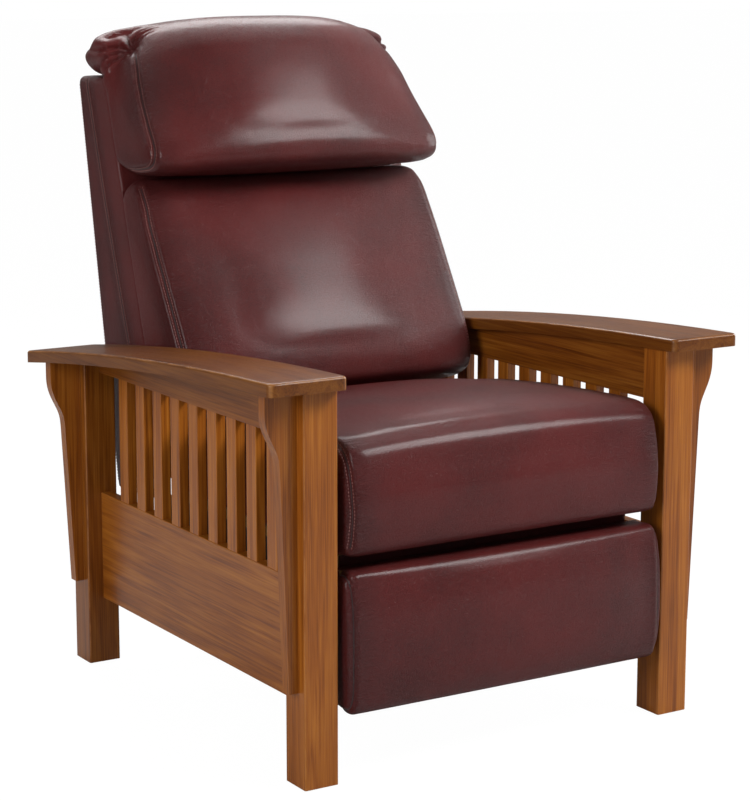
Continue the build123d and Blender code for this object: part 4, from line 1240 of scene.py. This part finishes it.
def headrest_cushion() -> HeadrestCushion:
    """The headrest's sizes."""
    box = front, bottom, depth, _ = 0.153, 0.847, 0.316, 0.253
    corner = (inside_back(SHELL_TOP_Z), SHELL_TOP_Z)
    soft = shares(
        box,
        *((0.330, -0.020, 0.4), (0.115, 0.010, 0.8), (0.025, 0.055, 1.0), (-0.004, 0.140, 1.0), (0.040, 0.300, 1.0)),
        *((0.130, 0.520, 1.0), (0.222, 0.745, 1.0), (0.282, 0.870, 1.0), (0.370, 0.965, 0.8), (0.500, 0.998, 0.5)),
        *((0.660, 0.965, 0.3), (0.800, 0.895, 0.1), (0.930, 0.780, 0.0)),
    )
    return HeadrestCushion(
        node="headrest_cushion",
        body="back",
        outline=((inside_back(bottom), bottom, 0.0), *soft, (front + depth, SHELL_TOP_Z, 0.0)),
        anchor=corner,
        crown_direction=FORWARD_OF_BACK,
        half_width=0.287,
        edge_round=0.046,
        crown=0.012,
        cap=0.010,
        seam_span=(0.07, 0.60),
        straight=(corner,),
        taper=((0.84, 1.0), (0.88, 1.0), (0.96, 0.975), (1.05, 0.92), (1.11, 0.86)),
        bow=((0.84, 0.004), (0.88, 0.008), (0.96, 0.046), (1.05, 0.060), (1.11, 0.060)),
        sag=(0.020, 0.008),
        seam_angle=40.0,
        fill=0.85,
    )


def footrest_pad() -> FootrestPad:
    """The footrest pad's sizes."""
    box = front, bottom, depth, height = -0.458, 0.103, 0.0487, 0.221
    outline = shares(
        box,
        *((1.000, 0.015, 0.0), (0.600, 0.000, 0.0), (0.180, 0.040, 0.5), (0.020, 0.200, 0.9), (0.000, 0.420, 1.0)),
        *((0.060, 0.720, 1.0), (0.215, 0.930, 1.0), (0.400, 0.990, 0.4), (1.000, 0.985, 0.0)),
    )
    return FootrestPad(
        node="footrest_pad",
        body="footrest",
        outline=outline,
        anchor=(front + depth, bottom + height / 2.0),
        crown_direction=(-1.0, 0.0),
        half_width=0.289,
        edge_round=0.018,
        crown=0.006,
        cap=0.006,
        seam_span=(0.0, 1.0),
        undersize=0.002,
        voxel=0.005,
        seam_rows=(),
    )


@dataclass
class OutsideBack:
    """The leather cover of the outside back: two sides, a rear panel and a top under the headrest."""

    half_width: float = 0.281
    wall: float = 0.0035
    corner: float = 0.013
    bottom: float = 0.300
    top: float = 1.002
    rear_low: float = 0.338
    rear_high: float = 0.4645
    foot_front: float = 0.261
    foot_rise: float = 0.040
    notch: tuple[float, float] = (0.1762, 0.440)
    puff: float = 0.0025
    hem: float = 0.315

    def front_at(self, z: float) -> float:
        """Y of a side panel's front edge at a height."""
        if z < self.notch[1]:
            share = float(rise(z, self.bottom + self.foot_rise, self.notch[1] - self.bottom - self.foot_rise))
            return self.foot_front + share * (self.notch[0] - self.foot_front)
        return inside_back(z, 0.0)

    def rear_at(self, z: float) -> float:
        """Y of the rear panel at a height."""
        return self.rear_low + (z - self.bottom) / (self.top - self.bottom) * (self.rear_high - self.rear_low)

    def rounded(self) -> list[tuple[float, float]]:
        """Steps round a corner: how far in from one face and from the other."""
        turns = np.linspace(0.0, math.pi / 2.0, 6)[1:]
        return [(self.corner * (1.0 - math.cos(turn)), self.corner * (1.0 - math.sin(turn))) for turn in turns]

    def section(self, z: float, inset: float) -> np.ndarray:
        """One level cut of the cover, from the left front edge round the rear to the right one.

        Args:
            z: The cut's height.
            inset: How far the cover is drawn in, where its top edge rounds over.

        Returns:
            Points in space.
        """
        front, rear = self.front_at(z), self.rear_at(z) - inset
        wide = self.half_width - inset
        half = [(wide, front + (rear - self.corner - front) * share) for share in np.linspace(0.0, 1.0, 14)]
        half += [(wide - aside, rear - behind) for aside, behind in self.rounded()]
        half += [(share * (wide - self.corner), rear) for share in np.linspace(1.0, 0.0, 20)[1:]]
        return np.array([(x, y, z) for x, y in half] + [(-x, y, z) for x, y in half[-2::-1]])

    def shell(self) -> bpy.types.Object:
        """The cover as one sheet, closed over its top."""
        low = self.bottom + self.foot_rise
        heights = [*np.linspace(self.bottom, low, 6), *np.linspace(low, self.notch[1], 10)[1:]]
        heights += list(np.linspace(self.notch[1], self.top - self.corner, 52))[1:]
        rows = [self.section(z, 0.0) for z in heights]
        rows += [self.section(self.top - below, aside * 0.8) for aside, below in self.rounded()]
        count = len(rows[0])
        faces = grid_faces(len(rows), count)
        last = (len(rows) - 1) * count
        for index in range(count // 2):
            other = count - 1 - index
            if other - index > 2:
                faces.append((last + index, last + index + 1, last + other - 1, last + other))
            elif other - index == 2:
                faces.append((last + index, last + index + 1, last + other))
        return plain_mesh("outside_back_leather", np.vstack(rows), faces)

    def puffed(self, points: np.ndarray) -> np.ndarray:
        """The sheet with its rear panel a little full and rippled."""
        x, y, z = points.T
        flat = self.half_width - self.corner
        rear = np.abs(x) < flat
        up = rise(z, self.bottom, self.top - self.bottom)
        full = np.clip(4.0 * up * (1.0 - up), 0.0, 1.0)
        ripple = np.sin(z * 47.0 + x * 9.0) * np.sin(x * 23.0 + 1.0) * 0.0006
        out = (np.clip(1.0 - (x / flat) ** 2, 0.0, 1.0) * self.puff + ripple) * full
        return np.column_stack([x, y + np.where(rear, out, 0.0), z])

    def side_seam(self, sign: float) -> np.ndarray:
        """The seam up the middle of a side panel."""
        line = []
        for z in np.linspace(0.452, 0.999, 60):
            front, share = self.front_at(z), 0.30 + 0.34 * (z - 0.44) / 0.56
            line.append((sign * self.half_width, front + share * (self.rear_at(z) - front), z))
        return np.array(line)

    def corner_seam(self, sign: float) -> np.ndarray:
        """The seam up a rear corner."""
        inset = self.corner * 0.3
        heights = np.linspace(0.312, 0.985, 70)
        return np.array([(sign * (self.half_width - inset), self.rear_at(z) - inset, z) for z in heights])

    def build(self, shop: Workshop, sewn: SewnLines) -> None:
        """Make the cover with its seams.

        Args:
            shop: The finishes.
            sewn: Where the back's stitches are gathered.
        """
        made = self.shell()
        write_points(made.data, self.puffed(read_points(made.data)))
        wall = made.modifiers.new("wall", "SOLIDIFY")
        wall.thickness, wall.offset = self.wall, -1.0
        finer = made.modifiers.new("finer", "SUBSURF")
        finer.levels = finer.render_levels = 1
        mesh = settle(made).data
        surface = surface_of(mesh)
        sides = [self.side_seam(sign) for sign in (1.0, -1.0)]
        corners = [self.corner_seam(sign) for sign in (1.0, -1.0)]
        for line in sides:
            sewn.add(surface, line, (-STITCH_OFF, STITCH_OFF))
        for line in corners:
            sewn.add(surface, line, (-0.004, 0.004))
        hem = np.array([(x, self.rear_at(self.hem), self.hem) for x in np.linspace(-0.262, 0.262, 60)])
        sewn.add(surface, hem, (0.0,), seam=False)
        cover(made, shop.made["leather"], distance_to_lines(read_points(mesh), sides + corners), 0.020)
        attach(made, "back", Slot.LEATHER, "back_sides", "back_panel", fill=0.2)


@dataclass
class SeatDeck:
    """The felt between the springs and the seat cushion."""

    low: Place = (-0.267, -0.383, 0.3379)
    high: Place = (0.267, 0.144, 0.3417)
    steps: tuple[int, int] = (90, 88)

    def build(self, shop: Workshop) -> None:
        """Make the felt, with a soft edge and pressed hollows over the springs."""
        xs, ys = (np.linspace(self.low[axis], self.high[axis], self.steps[axis]) for axis in (0, 1))
        top, bottom = [], []
        for y in ys:
            for x in xs:
                edge = min(x - xs[0], xs[-1] - x, y - ys[0], ys[-1] - y)
                thin = 0.0011 * bell(edge, 0.004)
                wave = 0.00025 * math.sin(x * 61.0 + 2.0 * math.sin(y * 17.0)) * math.sin(y * 53.0)
                top.append((x, y, self.high[2] - thin - 0.0003 + wave))
                bottom.append((x, y, self.low[2] + thin))
        made = plain_mesh("seat_pad_felt", np.array(top + bottom), sheet_faces(len(ys), len(xs)))
        made.data.materials.append(shop.made["felt"])
        attach(made, "seat", Slot.FELT, "seat_pad", fill=0.3)


@dataclass
class BackWebbing:
    """Elastic straps across the back frame, under tension."""

    count: int = 5
    width: float = 0.050
    thickness: float = 0.0011
    first: float = 0.090
    pitch: float = 0.106
    half_length: float = 0.2733
    steps: tuple[int, int] = (60, 14)
    waist: float = 0.035
    off_frame: float = 0.00002

    def build(self, shop: Workshop) -> None:
        """Make every strap in one mesh, with thick edge cords and stripes."""
        foot, up, out = (np.array(pair) for pair in ((BACK_FOOT_Y, BACK_FOOT_Z), UP_THE_BACK, FORWARD_OF_BACK))
        vertices, faces, stripes = [], [], []
        for strap in range(self.count):
            middle = foot + up * (self.first + strap * self.pitch)
            faces += sheet_faces(*self.steps, len(vertices))
            for face in (0, 1):
                for a in np.linspace(-1.0, 1.0, self.steps[0]):
                    for b in np.linspace(-1.0, 1.0, self.steps[1]):
                        narrow = 1.0 - self.waist * (1.0 - a * a)
                        thin = 0.22 * self.thickness * (1.0 - bell(abs(b) - 1.0, 0.08))
                        level = self.thickness - thin * 0.5 if face else self.off_frame + thin * 0.5
                        place = middle + up * (b * narrow * self.width / 2.0) + out * level
                        vertices.append((a * self.half_length, *place))
                        stripes.append(1.0 if 0.30 < abs(b) < 0.48 else 0.0)
        made = plain_mesh("back_webbing_straps", np.array(vertices), faces)
        stripe = made.data.attributes.new("stripe", "FLOAT", "POINT")
        stripe.data.foreach_set("value", np.array(stripes, np.float32))
        made.data.materials.append(shop.made["webbing"])
        attach(made, "back", Slot.WEBBING, "back_webbing")


@dataclass
class WrappedStrip:
    """A thin leather strip folded over the edge of what carries it, along X, or along Z with its path in Y and X."""

    name: str
    body: str
    half_width: float
    path: Table
    thickness: float = 0.001
    steps: int = 80
    middle: float = 0.0
    upright: bool = False
    ripple: float = 0.00012

    def build(self, shop: Workshop) -> None:
        """Make the strip, closed, with a soft ripple along its free edge."""
        line = even_line(np.array(self.path), 24, 2)
        run = np.gradient(line, axis=0)
        run /= np.linalg.norm(run, axis=1)[:, None]
        out = np.column_stack([-run[:, 1], run[:, 0]])
        vertices = []
        for layer in (0, 1):
            for x in np.linspace(-self.half_width, self.half_width, self.steps):
                ripple = self.ripple * math.sin(x * 83.0 + math.sin(x * 31.0) * 2.0)
                for y, z in line + out * (self.thickness + ripple) * layer:
                    along = self.middle + x
                    vertices.append((z, y, along) if self.upright else (along, y, z))
        made = plain_mesh(self.name, np.array(vertices), sheet_faces(self.steps, len(line)))
        made.data.materials.append(shop.made["leather"])
        attach(made, self.body, Slot.LEATHER)


def up_inside_back(low: float, high: float) -> Table:
    """A path up the inside back, between two distances from its foot."""
    foot, up, out = (np.array(pair) for pair in ((BACK_FOOT_Y, BACK_FOOT_Z), UP_THE_BACK, FORWARD_OF_BACK))
    return tuple(tuple(foot + up * run + out * 0.0001) for run in (low, (low + high) / 2.0, high))


def trims() -> list[WrappedStrip]:
    """The strips that cover bare frame edges between the cushions."""
    linings = ((0.117, 0.169), (0.223, 0.275), (0.329, 0.381), (0.435, 0.487), (0.541, 0.626))
    made = [
        WrappedStrip(f"inside_back_lining_{number}", "back", 0.2800, up_inside_back(*span), 0.0009)
        for number, span in enumerate(linings, 1)
    ]
    edge = up_inside_back(0.045, 0.690)
    end = ((-0.4088, 0.2802), (-0.3942, 0.2802), (-0.3929, 0.2792), (-0.3929, 0.2620))
    mirrored = tuple((y, -x) for y, x in end[::-1])
    for label, side, path in (("left", 1.0, end), ("right", -1.0, mirrored)):
        made.append(WrappedStrip(f"inside_back_edge_{label}", "back", 0.0034, edge, 0.0009, 6, side * 0.2771))
        made.append(
            WrappedStrip(f"footrest_end_wrap_{label}", "footrest", 0.1025, path, middle=0.2150, upright=True)
        )
    hem = ((-0.3928, 0.1350), (-0.3928, 0.1130), (-0.3940, 0.1118), (-0.4088, 0.1118))
    wrap = ((-0.4088, 0.3182), (-0.3940, 0.3182), (-0.3928, 0.3170), (-0.3928, 0.2950))
    band = ((-0.3842, 0.2905), (-0.3842, 0.3120), (-0.3842, 0.3335))
    made.append(WrappedStrip("footrest_board_hem", "footrest", 0.2790, hem))
    made.append(WrappedStrip("footrest_board_wrap", "footrest", 0.2790, wrap))
    made.append(WrappedStrip("seat_front_band", "seat", 0.2660, band))
    return made


@dataclass
class Screws:
    """Pan-head screws with a cross recess, one at each plain screw of a CAD node."""

    node: str
    body: str
    head_radius: float = 0.005
    head_height: float = 0.0019
    cad_head: float = 0.002
    shank_radius: float = 0.0024
    thread_turns: int = 7
    around: int = 20
    slot_half: float = 0.0006
    slot_depth: float = 0.0011
    seed: int = 3

    def profile(self, length: float) -> list[tuple[float, float]]:
        """The screw's outline from its head's top to its tip, as x and radius."""
        made = [(self.head_height, 0.0)]
        for turn in np.linspace(0.25, math.pi / 2.0, 5):
            made.append((self.head_height * math.cos(turn) + 0.0002, self.head_radius * math.sin(turn)))
        made += [(0.0, self.head_radius), (0.0, self.shank_radius)]
        pitch = (length - 0.004) / self.thread_turns
        for turn in range(self.thread_turns):
            start = -0.001 - turn * pitch
            made += [(start, self.shank_radius * 0.74), (start - pitch * 0.5, self.shank_radius)]
        return [*made, (-length + 0.002, self.shank_radius * 0.7), (-length, 0.0)]

    def shape(self, length: float) -> bpy.types.Object:
        """One screw whose head faces +X and whose head's underside is at X = 0.

        Args:
            length: Its length under the head.

        Returns:
            The screw.
        """
        top, *rings, tip = self.profile(length)
        turns = [2.0 * math.pi * step / self.around for step in range(self.around)]
        vertices = [(top[0], 0.0, 0.0)]
        vertices += [(x, radius * math.cos(turn), radius * math.sin(turn)) for x, radius in rings for turn in turns]
        vertices.append((tip[0], 0.0, 0.0))
        end, last = len(vertices) - 1, 1 + (len(rings) - 1) * self.around
        faces = []
        for step in range(self.around):
            following = (step + 1) % self.around
            faces += [(0, 1 + step, 1 + following), (end, last + following, last + step)]
        faces += [(a + 1, d + 1, c + 1, b + 1) for a, b, c, d in grid_faces(len(rings), self.around, closed=True)]
        made = plain_mesh(f"{self.node}_shape", np.array(vertices), faces, smooth=False)
        points = read_points(made.data)
        x, y, z = points.T
        sunk = (x > 0.0005) & (np.minimum(np.abs(y), np.abs(z)) < self.slot_half)
        sunk &= np.hypot(y, z) < self.head_radius * 0.62
        points[:, 0] = np.where(sunk, x - self.slot_depth, x)
        write_points(made.data, points)
        return made

    def islands(self) -> list[np.ndarray]:
        """The points of each plain screw in the CAD node."""
        build = bmesh.new()
        build.from_mesh(frame["nodes"][self.node].data)
        bmesh.ops.remove_doubles(build, verts=build.verts, dist=1e-5)
        clouds, seen = [], set()
        for vertex in build.verts:
            if vertex in seen:
                continue
            island, queue = [], [vertex]
            seen.add(vertex)
            while queue:
                current = queue.pop()
                island.append(current.co.copy())
                for edge in current.link_edges:
                    other = edge.other_vert(current)
                    if other not in seen:
                        seen.add(other)
                        queue.append(other)
            clouds.append(np.array(island))
        build.free()
        return clouds

    def places(self) -> tuple[list[Place], list[Place], float]:
        """Where each screw's head sits, which way it faces, and the longest screw's length."""
        seats, facings, longest = [], [], 0.0
        for cloud in self.islands():
            high, low = cloud.max(0), cloud.min(0)
            axis = int(np.argmax(high - low))
            centre = (high + low) / 2.0
            spread = np.delete(cloud - centre, axis, 1)
            wide_low = np.abs(spread[cloud[:, axis] < low[axis] + 1e-4]).max()
            wide_high = np.abs(spread[cloud[:, axis] > high[axis] - 1e-4]).max()
            facing, seat = np.zeros(3), centre.copy()
            facing[axis] = 1.0 if wide_high > wide_low else -1.0
            seat[axis] = high[axis] - self.cad_head if wide_high > wide_low else low[axis] + self.cad_head
            seats.append(tuple(seat))
            facings.append(tuple(facing))
            longest = max(longest, high[axis] - low[axis] - self.cad_head)
        return seats, facings, longest

    def build(self, shop: Workshop, tree: PlaceTree) -> None:
        """Set a screw at each place.

        Args:
            shop: The finishes.
            tree: The tree that places them.
        """
        seats, facings, length = self.places()
        model = self.shape(length)
        mesh = bpy.data.meshes.new(f"{self.node}_set")
        mesh.from_pydata(seats, [], [])
        towards = mesh.attributes.new("facing", "FLOAT_VECTOR", "POINT")
        towards.data.foreach_set("vector", np.array(facings, np.float32).ravel())
        made = new_object(f"{self.node}_set", mesh)
        tree.run(made, Shape=model, Seed=self.seed, Material=shop.made["screw_steel"])
        bpy.data.objects.remove(model)
        attach(made, self.body, Slot.SCREW, self.node)


@dataclass
class FrameDress:
    """Finishes for the CAD nodes that stay as they are."""

    upright: tuple[str, ...] = ("post", "slats", "corbel", "glue_blocks", "back_stiles")
    deep: tuple[str, ...] = ("arm_top", "top_rail", "side_panel", "mechanism_cleats", "seat_side_rails")
    hidden: tuple[str, ...] = (
        *("glue_blocks", "mechanism_cleats", "seat_side_rails", "seat_front_rail", "seat_rear_rail"),
        *("back_stiles", "back_rails", "footrest_board"),
    )

    def material(self, node: str, slot: str, shop: Workshop) -> bpy.types.Material:
        """The finish of one CAD node.

        Args:
            node: The node.
            slot: The record's material slot.
            shop: The finishes.

        Returns:
            The material.
        """
        if slot not in ("oak", "frame_wood"):
            return shop.made[slot]
        grain = Grain.DEPTH if any(word in node for word in self.deep) else Grain.ACROSS
        if any(word in node for word in self.upright):
            grain = Grain.UPRIGHT
        return shop.wood(node, grain, node in self.hidden)

    def dress(self, shop: Workshop) -> None:
        """Give every CAD node its finish."""
        slots = {piece["node"]: piece["material_slot"] for piece in frame["record"]["subparts"]}
        for name, node in frame["nodes"].items():
            finish = self.material(name, slots[name], shop)
            if not node.material_slots:
                node.data.materials.append(finish)
            for slot in node.material_slots:
                slot.material = finish
            log.info("%s: %s", name, finish.name)


@dataclass
class Studio:
    """Floor, backdrop, lamps and camera."""

    camera_place: Place = (-1.9712, -3.2097, 1.2001)
    camera_down: float = 10.56
    camera_turn: float = -31.82
    lens: float = 103.6
    shift: tuple[float, float] = (0.01064, -0.01534)
    ambient: float = 0.19
    floor_half: float = 40.0
    floor_glow: float = 1.05
    floor_share: float = 0.94
    lamps: tuple[tuple[str, Place, Place, float, float, float], ...] = (
        ("key", (2.1, -2.6, 3.3), (0.0, 0.0, 0.6), 1.5, 1.5, 150.0),
        ("fill", (-3.1, -1.1, 1.8), (0.0, 0.0, 0.55), 1.3, 1.8, 57.0),
        ("top", (0.5, 1.7, 2.5), (0.0, -0.1, 0.5), 2.2, 1.1, 62.0),
        ("rim", (3.1, 0.1, 1.5), (0.1, 0.0, 0.8), 1.1, 1.5, 46.0),
    )

    def floor(self) -> None:
        """A pale floor that keeps the chair's shadow and is clear from below."""
        half = self.floor_half
        corners = np.array([(-half, -half, 0.0), (half, -half, 0.0), (half, half, 0.0), (-half, half, 0.0)])
        made = plain_mesh("studio_floor", corners, [(0, 1, 2, 3)])
        material = bpy.data.materials.new("studio_floor")
        material.use_nodes = True
        tree = material.node_tree
        tree.nodes.clear()
        plain = add_node(tree, "ShaderNodeBsdfDiffuse", {"Color": (0.55, 0.55, 0.55, 1.0)})
        glow = add_node(tree, "ShaderNodeEmission", {"Color": (1.0, 1.0, 1.0, 1.0), "Strength": self.floor_glow})
        seen = Signal(tree, add_node(tree, "ShaderNodeLightPath").outputs["Is Camera Ray"])
        mix = add_node(tree, "ShaderNodeMixShader", {0: seen * self.floor_share, 1: plain, 2: glow})
        below = add_node(tree, "ShaderNodeNewGeometry").outputs["Backfacing"]
        clear = add_node(tree, "ShaderNodeBsdfTransparent")
        under = add_node(tree, "ShaderNodeMixShader", {0: below, 1: mix, 2: clear})
        add_node(tree, "ShaderNodeOutputMaterial", {"Surface": under})
        made.data.materials.append(material)

    def sky(self) -> None:
        """An even surround that the camera sees as white."""
        world = bpy.data.worlds.new("studio_surround")
        bpy.context.scene.world = world
        world.use_nodes = True
        tree = world.node_tree
        background = tree.nodes["Background"]
        background.inputs["Color"].default_value = (1.0, 1.0, 1.0, 1.0)
        seen = Signal(tree, add_node(tree, "ShaderNodeLightPath").outputs["Is Camera Ray"])
        strength = seen + (1.0 - seen) * self.ambient
        tree.links.new(strength.socket, background.inputs["Strength"])

    def light(self) -> None:
        """Large soft lamps."""
        for name, place, aim, width, height, power in self.lamps:
            lamp = bpy.data.lights.new(name, "AREA")
            lamp.shape = "RECTANGLE"
            lamp.size, lamp.size_y, lamp.energy = width, height, power
            made = new_object(name, lamp)
            made.location = place
            made.rotation_euler = (Vector(aim) - Vector(place)).to_track_quat("-Z", "Y").to_euler()

    def shoot(self) -> None:
        """The camera at the photograph's place."""
        camera = bpy.data.cameras.new("camera")
        camera.sensor_width = 36.0
        camera.lens = self.lens
        camera.shift_x, camera.shift_y = self.shift
        made = new_object("camera", camera)
        made.location = self.camera_place
        made.rotation_euler = (math.radians(90.0 - self.camera_down), 0.0, math.radians(self.camera_turn))
        bpy.context.scene.camera = made

    def build(self) -> None:
        """Set the scene."""
        bpy.context.scene.view_settings.view_transform = "Standard"
        self.sky()
        self.light()
        self.shoot()
        self.floor()


def main() -> None:
    """Dress the chair, piece by piece."""
    logging.basicConfig(level=logging.INFO, format="%(name)s: %(message)s")
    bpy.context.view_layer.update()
    shop = Workshop()
    shop.open()
    FrameDress().dress(shop)
    stitches, cords, fasteners = StitchTree(), ShadeCordTree(), PlaceTree()
    lines = {body: SewnLines(body, shop, stitches, cords) for body in ("seat", "back", "footrest")}
    OutsideBack().build(shop, lines["back"])
    for cushion in (seat_cushion(), lumbar_cushion(), headrest_cushion(), footrest_pad()):
        cushion.build(shop, lines[cushion.body])
    for sewn in lines.values():
        sewn.sew()
    for piece in (SeatDeck(), *trims(), BackWebbing()):
        piece.build(shop)
    for node, body in (("base_screws", "base"), ("seat_screws", "seat"), ("footrest_screws", "footrest")):
        Screws(node, body).build(shop, fasteners)
    Studio().build()


if __name__ == "__main__":
    main()
